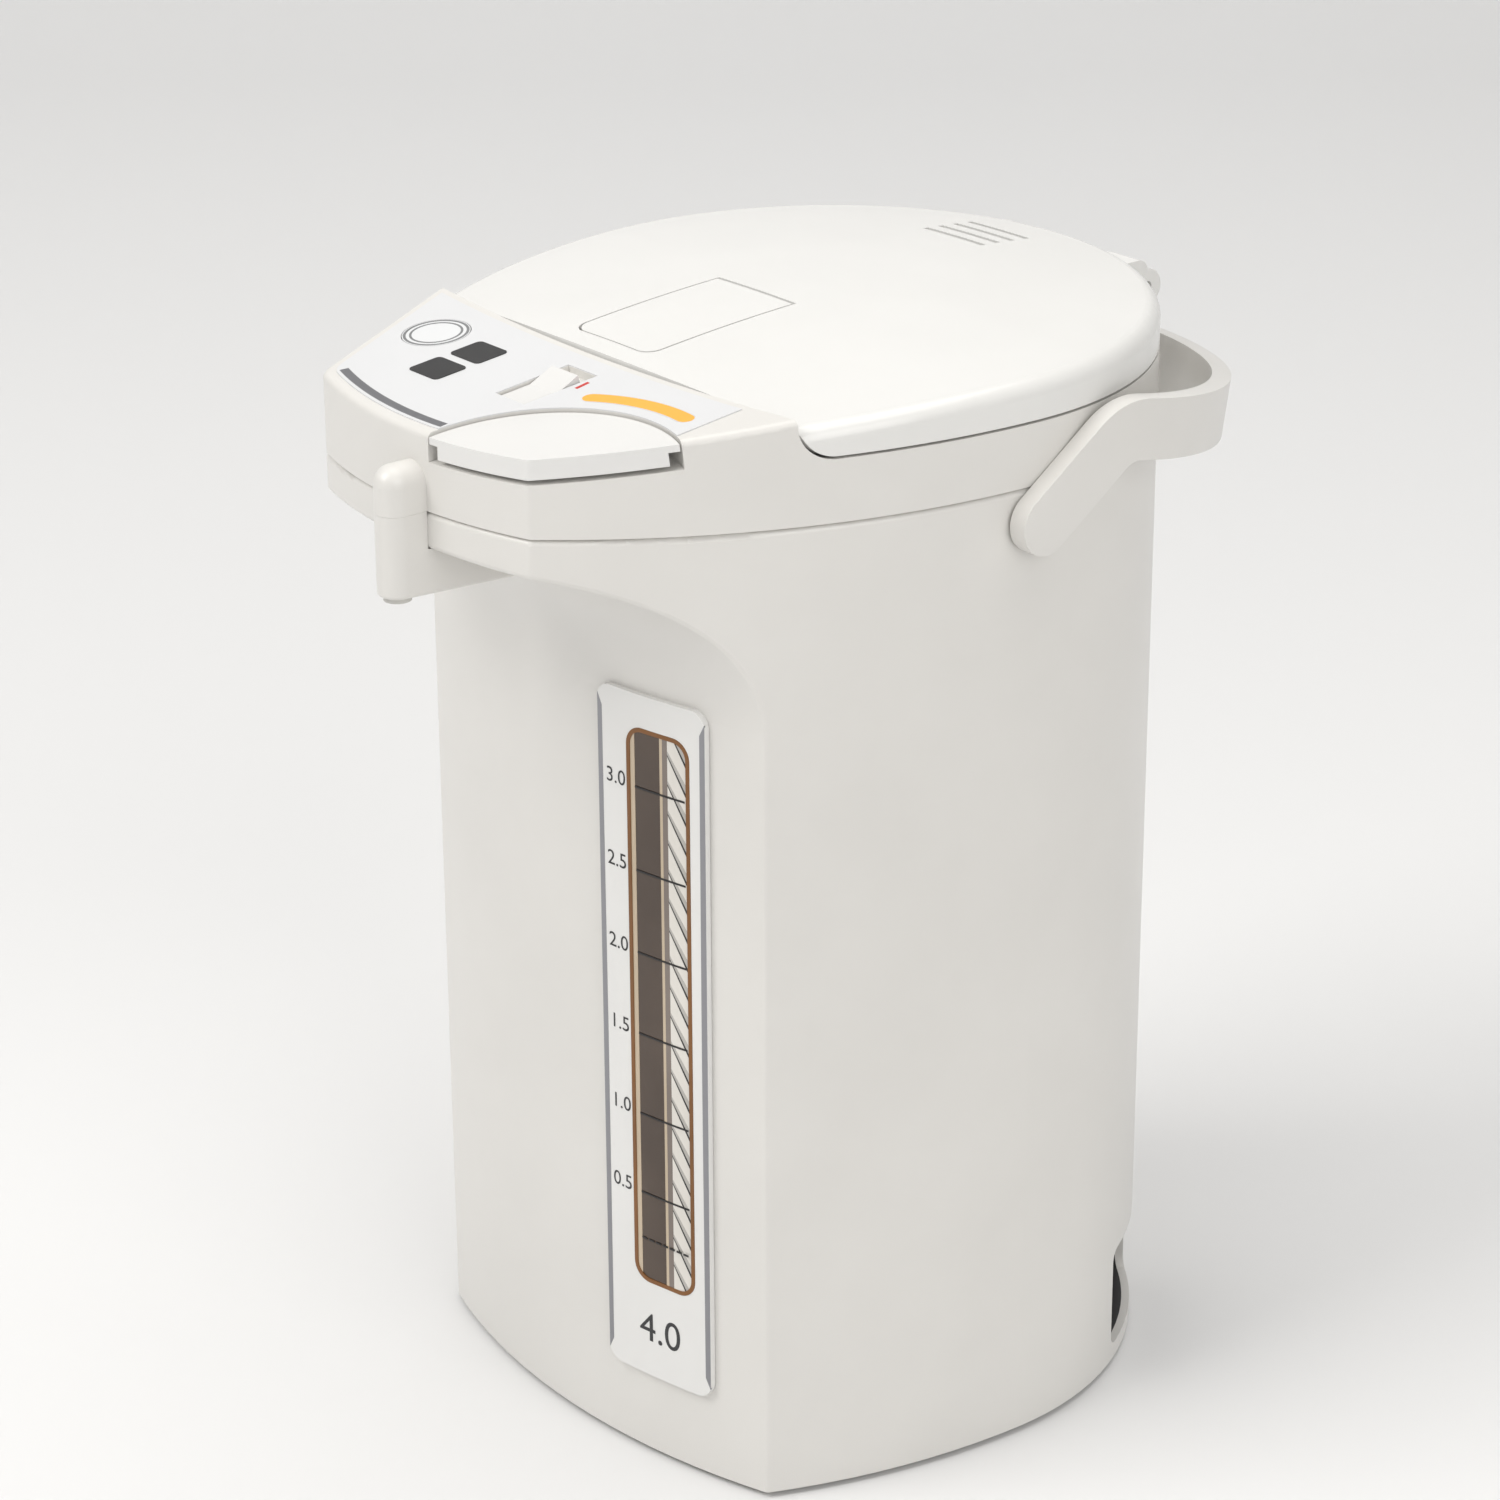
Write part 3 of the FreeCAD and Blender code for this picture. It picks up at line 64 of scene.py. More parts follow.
class Shader:
    def __init__(self, name):
        self.material = bpy.data.materials.new(name)
        self.material.use_nodes = True
        self.tree = self.material.node_tree
        self.principled = self.tree.nodes["Principled BSDF"]

    def fill(self, made, sockets):
        for key, value in sockets.items():
            if isinstance(value, Value):
                self.tree.links.new(value.socket, made.inputs[key])
            else:
                made.inputs[key].default_value = value

    # Settings go first, then the values or links of the sockets
    def node(self, kind, settings, sockets, output=0):
        made = self.tree.nodes.new(kind)
        for key, value in settings.items():
            if key == "stops":
                for stop, (position, colour) in zip(made.color_ramp.elements, value):
                    stop.position = position
                    stop.color = (*colour, 1.0)
            else:
                setattr(made, key, value)
        self.fill(made, sockets)
        return Value(self, made.outputs[output])

    def noise(self, scale, detail):
        place = self.node("ShaderNodeTexCoord", {}, {}, "Object")
        return self.node("ShaderNodeTexNoise", {},
                         {"Vector": place, "Scale": scale, "Detail": detail})

    def feed(self, sockets):
        self.fill(self.principled, sockets)


# Plastics, films and inks, and the painted highlight and painted shade seen in the gauge
# window: two near colours, gloss, and a fine grain where it has one
looks = {
    "bodyPlastic": {"low": (0.71, 0.695, 0.665), "high": (0.735, 0.72, 0.69),
                    "rough": 0.34, "grain": 900.0, "bump": 0.05, "coat": 0.12},
    "lidPlastic": {"low": (0.76, 0.755, 0.735), "high": (0.78, 0.775, 0.755),
                   "rough": 0.24, "grain": 600.0, "bump": 0.03, "coat": 0.25},
    "labelFilm": {"low": (0.70, 0.705, 0.715), "high": (0.715, 0.72, 0.73),
                  "rough": 0.33, "grain": 1500.0, "bump": 0.03, "coat": 0.1},
    "buttonPlastic": {"low": (0.74, 0.735, 0.72), "high": (0.76, 0.755, 0.74),
                      "rough": 0.22, "grain": 600.0, "bump": 0.02, "coat": 0.3},
    "gaugePlastic": {"low": (0.76, 0.755, 0.74), "high": (0.78, 0.775, 0.76),
                     "rough": 0.25, "grain": 700.0, "bump": 0.02, "coat": 0.25},
    "innerPlastic": {"low": (0.55, 0.54, 0.51), "high": (0.58, 0.57, 0.54),
                     "rough": 0.5, "grain": 900.0, "bump": 0.08, "coat": 0.0},
    "darkPlastic": {"low": (0.018, 0.018, 0.019), "high": (0.026, 0.026, 0.027),
                    "rough": 0.42, "grain": 900.0, "bump": 0.08, "coat": 0.0},
    "gloss": {"low": (0.006, 0.006, 0.007), "high": (0.009, 0.009, 0.010),
              "rough": 0.35, "grain": 300.0, "bump": 0.01, "coat": 0.0},
    "keyGrey": {"low": (0.16, 0.165, 0.17), "high": (0.19, 0.195, 0.2),
                "rough": 0.35, "grain": 700.0, "bump": 0.03, "coat": 0.1},
    "keyFace": {"low": (0.74, 0.75, 0.76), "high": (0.76, 0.77, 0.78),
                "rough": 0.3, "grain": 700.0, "bump": 0.02, "coat": 0.2},
    "rubber": {"low": (0.02, 0.02, 0.02), "high": (0.035, 0.035, 0.035),
               "rough": 0.75, "grain": 500.0, "bump": 0.2, "coat": 0.0},
    "silicone": {"low": (0.62, 0.62, 0.58), "high": (0.68, 0.68, 0.64),
                 "rough": 0.5, "grain": 400.0, "bump": 0.05, "coat": 0.0},
    "board": {"low": (0.02, 0.12, 0.05), "high": (0.03, 0.16, 0.07),
              "rough": 0.4, "grain": 300.0, "bump": 0.1, "coat": 0.1},
    "backing": {"low": (0.15, 0.105, 0.07), "high": (0.18, 0.125, 0.085),
                "rough": 0.6, "grain": 300.0, "bump": 0.05, "coat": 0.0},
    "orange": {"low": (0.90, 0.42, 0.03), "high": (0.93, 0.45, 0.04),
               "rough": 0.35, "grain": 900.0, "bump": 0.02, "coat": 0.1},
    "red": {"low": (0.55, 0.03, 0.02), "high": (0.6, 0.04, 0.03),
            "rough": 0.4, "grain": 900.0, "bump": 0.02, "coat": 0.0},
    "windowBorder": {"low": (0.17, 0.062, 0.006), "high": (0.23, 0.085, 0.010),
                     "rough": 0.35, "grain": 500.0, "bump": 0.02, "coat": 0.1},
    "paleInk": {"low": (0.60, 0.61, 0.62), "high": (0.63, 0.64, 0.65),
                "rough": 0.4, "coat": 0.0},
    "inkGrey": {"low": (0.018, 0.018, 0.02), "high": (0.03, 0.03, 0.032),
                "rough": 0.45, "coat": 0.0},
    "windowBrown": {"low": (0.055, 0.034, 0.022), "high": (0.085, 0.056, 0.038),
                    "rough": 0.18, "coat": 0.15},
    "stripeBlack": {"low": (0.006, 0.005, 0.005), "high": (0.010, 0.008, 0.008),
                    "rough": 0.4, "coat": 0.0},
    "stripePale": {"low": (0.70, 0.67, 0.62), "high": (0.76, 0.73, 0.68),
                   "rough": 0.2, "coat": 0.4},
    "stripeGrey": {"low": (0.42, 0.40, 0.37), "high": (0.48, 0.46, 0.43),
                   "rough": 0.2, "coat": 0.4},
    "shadeStrip": {"low": (0.17, 0.135, 0.115), "high": (0.22, 0.18, 0.155),
                   "rough": 0.15, "coat": 0.5},
    # Painted highlight: the bright lines where the glass tube in the gauge window catches
    # the light
    "paintedTubeHighlight": {"low": (0.50, 0.40, 0.28), "high": (0.58, 0.47, 0.34),
                  "rough": 0.15, "coat": 0.5},
}
metals = {
    "silver": {"colour": (0.30, 0.30, 0.32), "rough": 0.32},
    "steel": {"colour": (0.60, 0.60, 0.60), "rough": 0.3},
    "sheet": {"colour": (0.65, 0.65, 0.66), "rough": 0.38},
    "brass": {"colour": (0.72, 0.52, 0.22), "rough": 0.28},
}
tubeGlass = {"colour": (0.85, 0.88, 0.88), "rough": 0.06, "coat": 0.5, "alpha": 0.35}

cloud = {"scale": 18.0, "detail": 3.0, "lowStop": 0.35, "highStop": 0.65, "rough": 0.06}
grain = {"detail": 2.0, "depth": 0.2 * mm}
streak = {"scale": 220.0, "detail": 3.0, "rough": 0.1}


def plasticLook(name, look):
    shader = Shader(name)
    broad = shader.noise(cloud["scale"], cloud["detail"])
    stops = ((cloud["lowStop"], look["low"]), (cloud["highStop"], look["high"]))
    shader.feed({
        "Base Color": shader.node("ShaderNodeValToRGB", {"stops": stops}, {0: broad}),
        "Roughness": look["rough"] - cloud["rough"] / 2.0 + broad * cloud["rough"],
        "Coat Weight": look["coat"],
    })
    if "bump" in look:
        fine = shader.noise(look["grain"], grain["detail"])
        shader.feed({"Normal": shader.node(
            "ShaderNodeBump", {},
            {"Strength": look["bump"], "Distance": grain["depth"], "Height": fine})})
    return shader.material


def metalLook(name, look):
    shader = Shader(name)
    streaks = shader.noise(streak["scale"], streak["detail"])
    shader.feed({
        "Base Color": (*look["colour"], 1.0),
        "Metallic": 1.0,
        "Roughness": look["rough"] - streak["rough"] / 2.0 + streaks * streak["rough"],
    })
    return shader.material


def plainLook(name, look):
    shader = Shader(name)
    shader.feed({"Base Color": (*look["colour"], 1.0), "Roughness": look["rough"],
                 "Coat Weight": look["coat"], "Alpha": look["alpha"]})
    return shader.material


materials = {name: plasticLook(name, look) for name, look in looks.items()}
materials.update({name: metalLook(name, look) for name, look in metals.items()})
materials["tubeGlass"] = plainLook("tubeGlass", tubeGlass)
print("stage: materials made")

nodeLooks = {
    "bodyPlastic": ("body_shell", "shoulder_cover", "spout_cover", "hinge_bracket"),
    "lidPlastic": ("lid_cover", "lid_lever"),
    "labelFilm": ("control_label",),
    "buttonPlastic": ("dispense_button", "lock_slider"),
    "keyFace": ("reboil_key",),
    "gloss": ("indicator_windows",),
    "gaugePlastic": ("gauge_panel",),
    "windowBrown": ("gauge_window",),
    "tubeGlass": ("sight_tube",),
    "backing": ("gauge_backing",),
    "steel": ("inner_vessel", "thermostat", "pump_motor", "hinge_pin", "base_screws"),
    "sheet": ("heat_jacket", "heater_plate"),
    "silicone": ("lid_seal", "vessel_gasket", "suction_pipe", "riser_hose",
                 "delivery_hose"),
    "rubber": ("rubber_feet",),
    "innerPlastic": ("base_plate", "nozzle_tube", "switch_carrier", "lid_inner",
                     "latch_bolt", "bolt_guide", "handle_bushes", "pump_housing",
                     "pump_rotor"),
    "darkPlastic": ("button_switch", "inlet_housing", "transformer"),
    "board": ("control_board", "key_switch", "power_board"),
    "brass": ("inlet_pins",),
}
for look, nodes in nodeLooks.items():
    for node in nodes:
        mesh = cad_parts[node].data
        mesh.materials.clear()
        mesh.materials.append(materials[look])
print("stage: solids dressed")


def addPiece(name, mesh, body):
    piece = bpy.data.objects.new(name, mesh)
    bpy.context.scene.collection.objects.link(piece)
    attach(piece, body)


def addSlab(name, shape, look, body):
    vertices, faces = shape
    mesh = bpy.data.meshes.new(name)
    mesh.from_pydata(vertices, [], faces)
    mesh.update()
    mesh.materials.append(materials[look])
    addPiece(name, mesh, body)


# A thin slab on an outline given as points in order
def tile(shape, outline, place, top, bottom):
    vertices, faces = shape
    start = len(vertices)
    count = len(outline)
    vertices.extend(place(a, b, top) for a, b in outline)
    vertices.extend(place(a, b, bottom) for a, b in outline)
    faces.append([start + i for i in range(count)])
    faces.append([start + count + i for i in reversed(range(count))])
    for i in range(count):
        j = (i + 1) % count
        faces.append([start + j, start + i, start + count + i, start + count + j])


# A thin slab between two lines of matching points
def band(shape, inner, outer, place, top, bottom, closed):
    vertices, faces = shape
    start = len(vertices)
    count = len(inner)
    for lift in (top, bottom):
        for line in (inner, outer):
            vertices.extend(place(a, b, lift) for a, b in line)
    steps = count if closed else count - 1
    a, b, c, d = (start + k * count for k in range(4))
    for i in range(steps):
        j = (i + 1) % count
        faces.append([a + i, a + j, b + j, b + i])
        faces.append([c + j, c + i, d + i, d + j])
        faces.append([a + j, a + i, c + i, c + j])
        faces.append([b + i, b + j, d + j, d + i])
    if not closed:
        for i in (0, count - 1):
            faces.append([a + i, b + i, d + i, c + i])


def roundedLoop(x0, y0, x1, y1, corner, steps):
    points = []
    for cx, cy, first in ((x1 - corner, y1 - corner, 0), (x0 + corner, y1 - corner, 1),
                          (x0 + corner, y0 + corner, 2), (x1 - corner, y0 + corner, 3)):
        for i in range(steps + 1):
            angle = math.pi / 2.0 * (first + i / steps)
            points.append((cx + corner * math.cos(angle), cy + corner * math.sin(angle)))
    return points


def arcLine(cx, cy, radius, start, end, steps):
    angles = [math.radians(start + (end - start) * i / steps) for i in range(steps + 1)]
    return [(cx + radius * math.cos(a), cy + radius * math.sin(a)) for a in angles]


# The outline cut to a convex loop given anticlockwise
def clipped(outline, loop):
    result = outline
    for (ax, ay), (bx, by) in zip(loop, loop[1:] + loop[:1]):
        source = result
        result = []
        for p, q in zip(source, source[1:] + source[:1]):
            sideP = (bx - ax) * (p[1] - ay) - (by - ay) * (p[0] - ax)
            sideQ = (bx - ax) * (q[1] - ay) - (by - ay) * (q[0] - ax)
            if sideP >= 0:
                result.append(p)
            if (sideP >= 0) != (sideQ >= 0):
                t = sideP / (sideP - sideQ)
                result.append((p[0] + t * (q[0] - p[0]), p[1] + t * (q[1] - p[1])))
        if len(result) < 3:
            return []
    return result


# The gauge's plate is part of an upright cylinder, turned a little about its axis
gaugeFace = {"axisY": 136.0, "turn": math.radians(9.9), "radius": 239.0}


def onGauge(u, z, lift):
    c = math.cos(gaugeFace["turn"])
    s = math.sin(gaugeFace["turn"])
    v = math.sqrt((gaugeFace["radius"] + lift) ** 2 - u ** 2)
    return Vector((u * c + v * s, gaugeFace["axisY"] + u * s - v * c, z)) * mm


window = {"middle": 3.0, "width": 23.5, "low": 61.05, "high": 239.95, "corner": 5.95,
          "border": 1.3, "steps": 8, "top": 0.12, "bottom": -0.35}
low, high, inset = window["low"], window["high"], window["border"]
left = window["middle"] - window["width"] / 2.0
right = window["middle"] + window["width"] / 2.0
windowLoop = roundedLoop(left, low, right, high, window["corner"], window["steps"])
insideLoop = roundedLoop(left + inset, low + inset, right - inset, high - inset,
                         window["corner"] - inset, window["steps"])
shape = ([], [])
band(shape, insideLoop, windowLoop, onGauge, window["top"], window["bottom"], True)
addSlab("windowBorder", shape, "windowBorder", "pot")

# Upright strips seen through the window, two of them painted highlight where the glass tube
# catches the light and one painted shade, then the slanting stripes on the right one
strips = {
    "stripeField": {"left": 6.7, "right": right, "look": "stripePale"},
    "paintedHighlightLine": {"left": 3.8, "right": 4.8, "look": "paintedTubeHighlight"},
    "paintedHighlightEdge": {"left": -7.6, "right": -5.7, "look": "paintedTubeHighlight"},
    "shadeStrip": {"left": 4.8, "right": 6.7, "look": "shadeStrip"},
}
stripTop, stripBottom = -0.12, -0.3
for name, strip in strips.items():
    outline = [(strip["left"], low), (strip["right"], low),
               (strip["right"], high), (strip["left"], high)]
    shape = ([], [])
    tile(shape, clipped(outline, insideLoop), onGauge, stripTop, stripBottom)
    addSlab(name, shape, strip["look"], "pot")

stripes = {
    "greyStripes": {"height": 4.3, "top": -0.08, "look": "stripeGrey"},
    "darkStripes": {"height": 1.35, "top": -0.04, "look": "stripeBlack"},
}
slant = {"count": 24, "pitch": 9.1, "fall": 13.6, "leftShare": 0.35}
fieldLeft = strips["stripeField"]["left"]
for name, stripe in stripes.items():
    shape = ([], [])
    for number in range(slant["count"]):
        leftFoot = low + number * slant["pitch"]
        rightFoot = leftFoot - slant["fall"]
        outline = clipped([(fieldLeft, leftFoot), (right, rightFoot),
                           (right, rightFoot + stripe["height"]),
                           (fieldLeft, leftFoot + stripe["height"] * slant["leftShare"])],
                          insideLoop)
        if outline:
            tile(shape, outline, onGauge, stripe["top"], stripBottom)
    addSlab(name, shape, stripe["look"], "pot")
print("stage: gauge window done")


# Geometry Nodes that copy a mark along a line at an even pitch
def repeatTree(name):
    tree = bpy.data.node_groups.new(name, "GeometryNodeTree")
    sockets = tree.interface
    sockets.new_socket("Geometry", in_out="INPUT", socket_type="NodeSocketGeometry")
    count = sockets.new_socket("Count", in_out="INPUT", socket_type="NodeSocketInt")
    pitch = sockets.new_socket("Pitch", in_out="INPUT", socket_type="NodeSocketVector")
    paint = sockets.new_socket("Material", in_out="INPUT",
                               socket_type="NodeSocketMaterial")
    sockets.new_socket("Geometry", in_out="OUTPUT", socket_type="NodeSocketGeometry")
    source = tree.nodes.new("NodeGroupInput")
    result = tree.nodes.new("NodeGroupOutput")
    line = tree.nodes.new("GeometryNodeMeshLine")
    scatter = tree.nodes.new("GeometryNodeInstanceOnPoints")
    realize = tree.nodes.new("GeometryNodeRealizeInstances")
    setPaint = tree.nodes.new("GeometryNodeSetMaterial")
    tree.links.new(source.outputs["Count"], line.inputs["Count"])
    tree.links.new(source.outputs["Pitch"], line.inputs["Offset"])
    tree.links.new(line.outputs[0], scatter.inputs["Points"])
    tree.links.new(source.outputs["Geometry"], scatter.inputs["Instance"])
    tree.links.new(scatter.outputs[0], realize.inputs[0])
    tree.links.new(realize.outputs[0], setPaint.inputs["Geometry"])
    tree.links.new(source.outputs["Material"], setPaint.inputs["Material"])
    tree.links.new(setPaint.outputs[0], result.inputs[0])
    return tree, (count.identifier, pitch.identifier, paint.identifier)


repeatGroup, repeatKeys = repeatTree("repeatMarks")


# The object's evaluated form as a plain mesh, with the object itself taken away
def baked(source):
    bpy.context.scene.collection.objects.link(source)
    bpy.context.view_layer.update()
    graph = bpy.context.evaluated_depsgraph_get()
    mesh = bpy.data.meshes.new_from_object(source.evaluated_get(graph))
    bpy.data.objects.remove(source)
    return mesh


def repeated(name, shape, count, pitch, look, body):
    vertices, faces = shape
    seedMesh = bpy.data.meshes.new(name + "Seed")
    seedMesh.from_pydata(vertices, [], faces)
    seed = bpy.data.objects.new(name + "Seed", seedMesh)
    modifier = seed.modifiers.new("repeat", "NODES")
    modifier.node_group = repeatGroup
    for key, value in zip(repeatKeys, (count, pitch, materials[look])):
        modifier[key] = value
    mesh = baked(seed)
    mesh.name = name
    addPiece(name, mesh, body)


# The bars are cut into short lengths, so that they follow the curved plate
marks = {"left": -5.6, "right": 12.9, "first": 90.8, "pitch": 26.1, "count": 6,
         "height": 0.55, "steps": 10, "top": 0.04, "bottom": -0.2}


def levelBar(start, end, middle):
    half = marks["height"] / 2.0
    places = [start + (end - start) * i / marks["steps"] for i in range(marks["steps"] + 1)]
    shape = ([], [])
    band(shape, [(u, middle + half) for u in places], [(u, middle - half) for u in places],
         onGauge, marks["top"], marks["bottom"], False)
    return shape


repeated("levelMarks", levelBar(marks["left"], marks["right"], marks["first"]),
         marks["count"], (0, 0, marks["pitch"] * mm), "stripeBlack", "pot")

lettering = {"numeralShare": 0.7, "resolution": 6, "lift": 0.06}


def words(name, text, height, x, z):
    curve = bpy.data.curves.new(name, "FONT")
    curve.body = text
    curve.size = height / lettering["numeralShare"]
    curve.align_x = "CENTER"
    curve.align_y = "CENTER"
    curve.resolution_u = lettering["resolution"]
    mesh = baked(bpy.data.objects.new(name, curve))
    for vertex in mesh.vertices:
        vertex.co = onGauge(x + vertex.co.x, z + vertex.co.y, lettering["lift"])
    mesh.materials.clear()
    mesh.materials.append(materials["inkGrey"])
    mesh.update()
    addPiece(name, mesh, "pot")


scale = {"x": -13.2, "rise": 0.9, "height": 4.6, "litres": 0.5}  # litres per mark
for number in range(marks["count"]):
    level = marks["first"] + number * marks["pitch"]
    words("level%d" % number, "%.1f" % (scale["litres"] * (number + 1)), scale["height"],
          scale["x"], level + scale["rise"])

capacity = {"text": "4.0", "x": 1.0, "z": 45.0, "height": 9.5}
words("capacity", capacity["text"], capacity["height"], capacity["x"], capacity["z"])

# The broken line under the lowest mark
dash = {"z": 75.5, "count": 7, "pitch": 2.75, "length": 1.9}
dashStep = onGauge(marks["left"] + dash["pitch"], 0, 0) - onGauge(marks["left"], 0, 0)
repeated("refillDashes", levelBar(marks["left"], marks["left"] + dash["length"], dash["z"]),
         dash["count"], tuple(dashStep), "stripeBlack", "pot")

# Bright lines down the plate's two sides
edge = {"heights": (32.5, 36.0, 140.0, 243.0, 246.5),
        "innerHalves": (20.1, 18.4, 18.2, 18.4, 20.1), "outerHalf": 20.2,
        "top": 0.05, "bottom": -0.4}
shape = ([], [])
for side in (-1, 1):
    inner = [(side * half, z) for half, z in zip(edge["innerHalves"], edge["heights"])]
    outer = [(side * edge["outerHalf"], z) for z in edge["heights"]]
    band(shape, inner, outer, onGauge, edge["top"], edge["bottom"], False)
addSlab("gaugeEdges", shape, "silver", "pot")
print("stage: gauge marks done")

# The label lies on the beak, which slopes down to the front from a bend
panel = {"bendY": -80.0, "bendZ": 337.8, "slope": math.radians(6.4), "labelTop": 0.35,
         "inkBottom": -0.1}


def onLabel(x, y, lift):
    c = math.cos(panel["slope"])
    s = math.sin(panel["slope"])
    along = y - panel["bendY"]
    rise = panel["labelTop"] + lift
    return Vector((x, panel["bendY"] + along * c - rise * s,
                   panel["bendZ"] + along * s + rise * c)) * mm


arc = {"x": 50.5, "y": -147.5, "radius": 50.5, "start": 80.0, "end": 124.5,
       "steps": 24, "capSteps": 8}
arcPieces = {
    "arcOutline": {"width": 6.1, "top": 0.03, "look": "paleInk"},
    "arcBar": {"width": 5.1, "top": 0.06, "look": "orange"},
}


# A bar bent to the arc round the button, with round ends
def bentBar(width):
    x, y, radius = arc["x"], arc["y"], arc["radius"]
    cap = width / 2.0
    half = math.degrees(width / 2.0 / radius)  # the angle that a round end takes
    first, last = arc["start"] + half, arc["end"] - half
    line = arcLine(x, y, radius + cap, first, last, arc["steps"])
    line += arcLine(x + radius * math.cos(math.radians(last)),
                    y + radius * math.sin(math.radians(last)),
                    cap, arc["end"], arc["end"] + 180.0, arc["capSteps"])[1:]
    line += arcLine(x, y, radius - cap, last, first, arc["steps"])[1:]
    line += arcLine(x + radius * math.cos(math.radians(first)),
                    y + radius * math.sin(math.radians(first)),
                    cap, arc["start"] + 180.0, arc["start"] + 360.0, arc["capSteps"])[1:-1]
    return line


for name, bar in arcPieces.items():
    shape = ([], [])
    tile(shape, bentBar(bar["width"]), onLabel, bar["top"], panel["inkBottom"])
    addSlab(name, shape, bar["look"], "pot")

tick = {"corners": ((14.6, -103.0), (15.8, -103.0), (15.2, -98.0), (14.0, -98.0)),
        "top": 0.04}
shape = ([], [])
tile(shape, tick["corners"], onLabel, tick["top"], panel["inkBottom"])
addSlab("lockTick", shape, "red", "pot")

# The dark line near the beak's front edge
front = {"x": -6.0, "y": 1.5, "radius": 150.0, "outerInset": 4.3, "innerInset": 7.0,
         "start": 252.0, "end": 275.0, "steps": 24, "top": 0.04}
inner, outer = (arcLine(front["x"], front["y"], front["radius"] - inset, front["start"],
                        front["end"], front["steps"])
                for inset in (front["innerInset"], front["outerInset"]))
shape = ([], [])
band(shape, inner, outer, onLabel, front["top"], panel["inkBottom"], False)
addSlab("frontStripe", shape, "silver", "pot")

# Two printed rings on the round key
roundKey = {"x": -51.8, "y": -102.3, "rings": ((8.9, 9.7), (7.2, 7.9)), "sides": 48,
            "top": 0.05}
lastSide = 360.0 * (roundKey["sides"] - 1) / roundKey["sides"]
shape = ([], [])
for ring in roundKey["rings"]:
    inner, outer = (arcLine(roundKey["x"], roundKey["y"], radius, 0.0, lastSide,
                            roundKey["sides"] - 1) for radius in ring)
    band(shape, inner, outer, onLabel, roundKey["top"], panel["inkBottom"], True)
addSlab("keyRings", shape, "keyGrey", "round_key")
print("stage: beak done")

# The handle's solid again, with its sharp edges rounded
rounding = {"join": 0.01 * mm, "sharp": math.radians(50.0), "width": 1.1 * mm,
            "segments": 3}
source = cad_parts["handle"]
form = bmesh.new()
form.from_mesh(source.data)
form.transform(source.matrix_world)
bmesh.ops.remove_doubles(form, verts=form.verts, dist=rounding["join"])
sharp = [edge for edge in form.edges
         if len(edge.link_faces) == 2 and edge.calc_face_angle(0.0) > rounding["sharp"]]
bmesh.ops.bevel(form, geom=sharp, offset=rounding["width"], affect="EDGES",
                segments=rounding["segments"], profile=0.5, clamp_overlap=True)
for face in form.faces:
    face.smooth = True
handleMesh = bpy.data.meshes.new("roundedHandle")
form.to_mesh(handleMesh)
form.free()
handleMesh.materials.append(materials["bodyPlastic"])
handlePiece = bpy.data.objects.new("roundedHandle", handleMesh)
bpy.context.scene.collection.objects.link(handlePiece)
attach(handlePiece, "carry_handle")
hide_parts("handle")
print("stage: handle done")

# A floor that bends up into a backdrop, square to the camera
backdrop = {"azimuth": 50.5, "halfWidth": 5.0, "near": -3.0, "bendStart": 1.6,
            "bendRadius": 0.9, "bendSteps": 9, "top": 4.0,
            "colour": (0.80, 0.80, 0.80), "rough": 0.75, "coat": 0.0, "alpha": 1.0}
bend = backdrop["bendRadius"]
angles = [math.radians(90.0 * i / backdrop["bendSteps"])
          for i in range(1, backdrop["bendSteps"] + 1)]
profile = [(backdrop["near"], 0.0), (backdrop["bendStart"], 0.0)]
profile += [(backdrop["bendStart"] + bend * math.sin(a), bend - bend * math.cos(a))
            for a in angles]
profile += [(backdrop["bendStart"] + bend, backdrop["top"])]
turn = Matrix.Rotation(math.radians(backdrop["azimuth"]), 3, "Z")
vertices = [turn @ Vector((x, y, z))
            for x in (-backdrop["halfWidth"], backdrop["halfWidth"]) for y, z in profile]
count = len(profile)
floorMesh = bpy.data.meshes.new("floor")
floorMesh.from_pydata(vertices, [], [[i, count + i, count + i + 1, i + 1]
                                     for i in range(count - 1)])
for polygon in floorMesh.polygons:
    polygon.use_smooth = True
floor = bpy.data.objects.new("floor", floorMesh)
bpy.context.scene.collection.objects.link(floor)
floorMesh.materials.append(plainLook("floorPaint", backdrop))

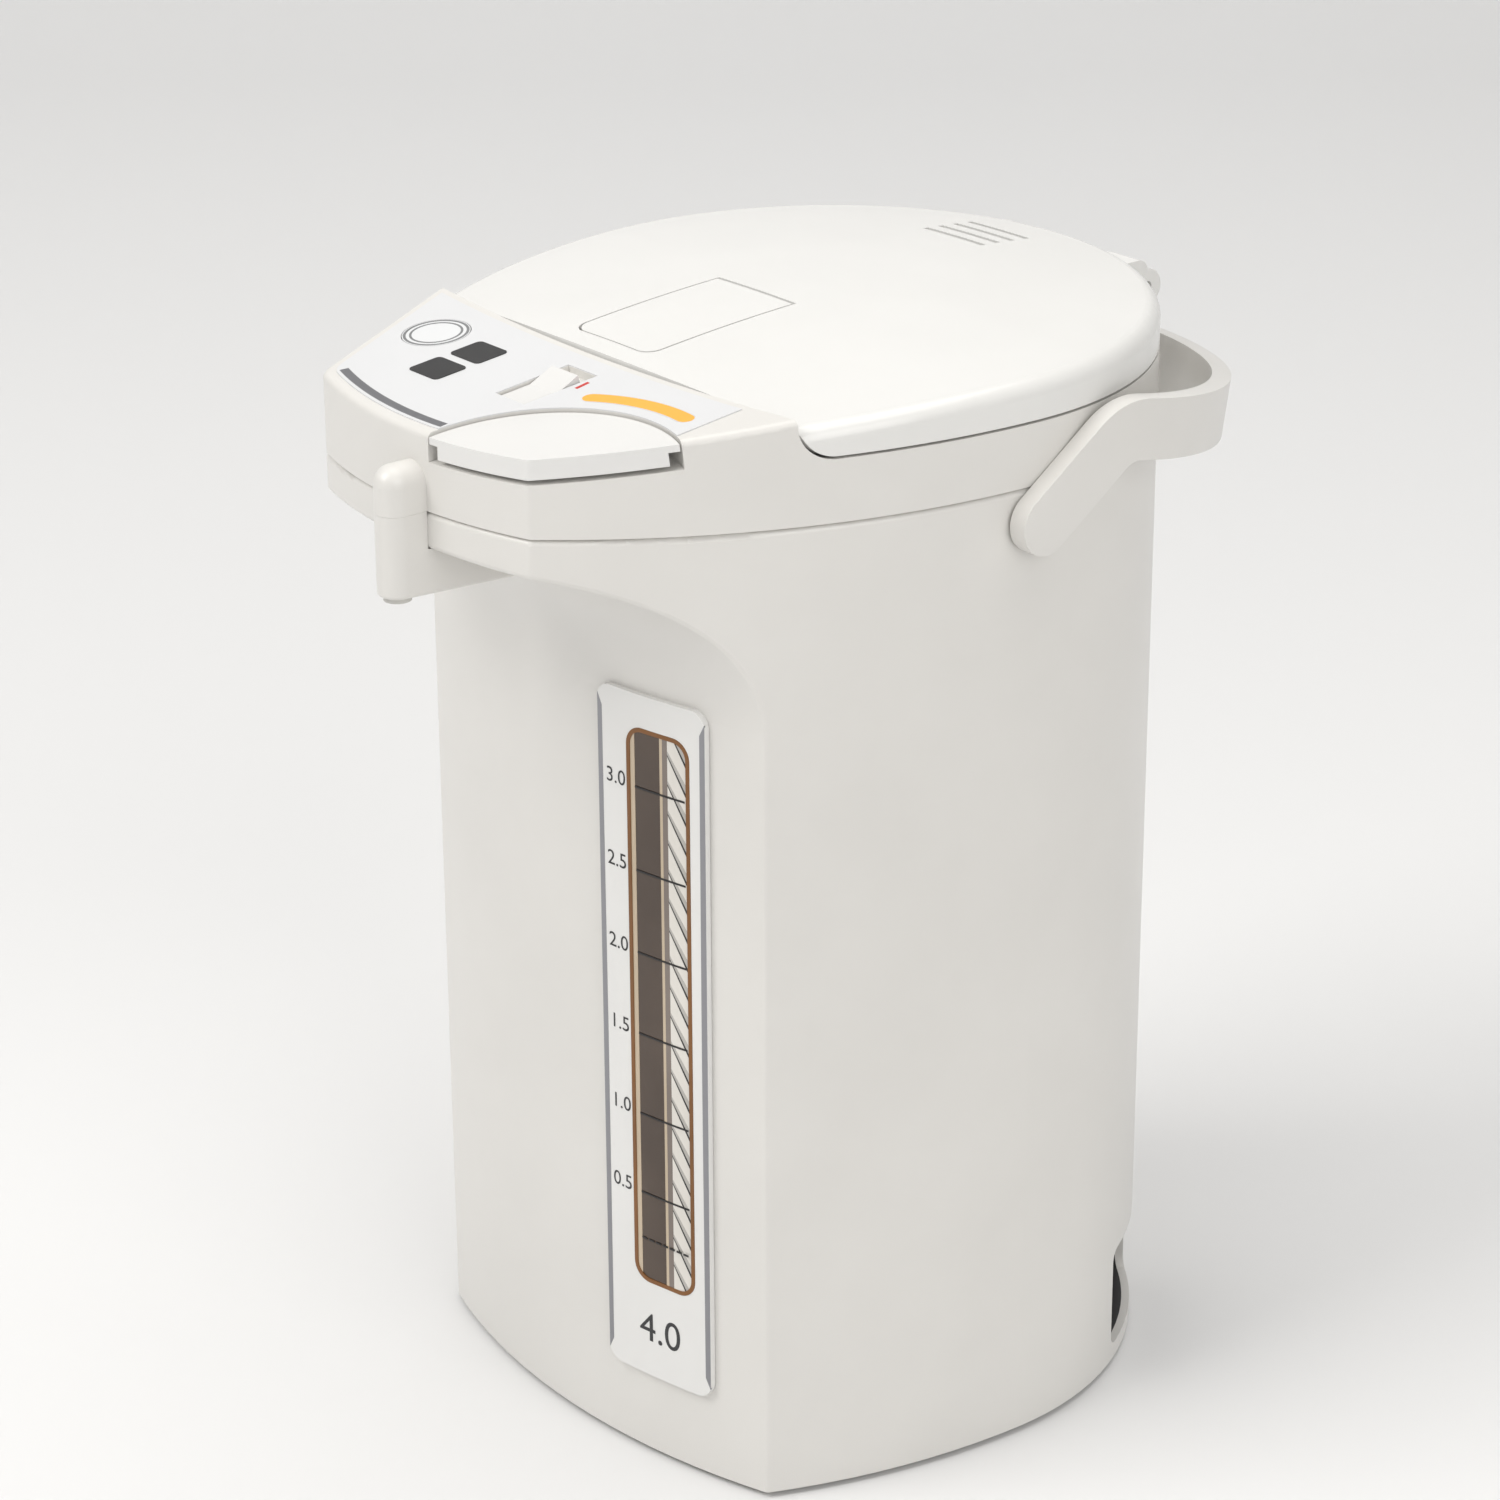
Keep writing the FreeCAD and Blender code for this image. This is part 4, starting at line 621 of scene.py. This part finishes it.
lamps = {
    "key": {"at": (-0.6, -1.9, 2.2), "size": 1.6, "power": 42.0},
    "fill": {"at": (2.2, -0.4, 1.3), "size": 1.8, "power": 20.0},
    "top": {"at": (0.1, 0.2, 2.6), "size": 2.2, "power": 30.0},
}
lampTarget = Vector((0, 0, 0.18))
lampColour = (1.0, 0.985, 0.96)
for name, lamp in lamps.items():
    light = bpy.data.lights.new(name, "AREA")
    light.energy = lamp["power"]
    light.size = lamp["size"]
    light.color = lampColour
    holder = bpy.data.objects.new(name, light)
    bpy.context.scene.collection.objects.link(holder)
    holder.location = lamp["at"]
    aim = lampTarget - Vector(lamp["at"])
    holder.rotation_euler = aim.to_track_quat("-Z", "Y").to_euler()

room = {"Color": (1.0, 1.0, 1.0, 1.0), "Strength": 0.35}
world = bpy.data.worlds.new("room")
world.use_nodes = True
for key, value in room.items():
    world.node_tree.nodes["Background"].inputs[key].default_value = value
bpy.context.scene.world = world

# The camera stands where the photo was taken from
shot = {"azimuth": math.radians(50.501), "elevation": math.radians(22.825),
        "roll": math.radians(-0.325), "at": (0.9470, -0.8091, 0.7181), "lens": 105.94,
        "sensor": 36.0, "clipStart": 0.05}
ca, sa = math.cos(shot["azimuth"]), math.sin(shot["azimuth"])
ce, se = math.cos(shot["elevation"]), math.sin(shot["elevation"])
ahead = Vector((-sa * ce, ca * ce, -se))
levelSide = Vector((ca, sa, 0.0))
levelUp = levelSide.cross(ahead)
cameraSide = levelSide * math.cos(shot["roll"]) + levelUp * math.sin(shot["roll"])
cameraUp = levelUp * math.cos(shot["roll"]) - levelSide * math.sin(shot["roll"])
lens = bpy.data.cameras.new("camera")
lens.lens = shot["lens"]
lens.sensor_width = shot["sensor"]
lens.clip_start = shot["clipStart"]
camera = bpy.data.objects.new("camera", lens)
bpy.context.scene.collection.objects.link(camera)
camera.matrix_world = Matrix(((cameraSide.x, cameraUp.x, -ahead.x, shot["at"][0]),
                              (cameraSide.y, cameraUp.y, -ahead.y, shot["at"][1]),
                              (cameraSide.z, cameraUp.z, -ahead.z, shot["at"][2]),
                              (0, 0, 0, 1)))
bpy.context.scene.camera = camera
bpy.context.scene.view_settings.view_transform = "Standard"
print("stage: studio done")
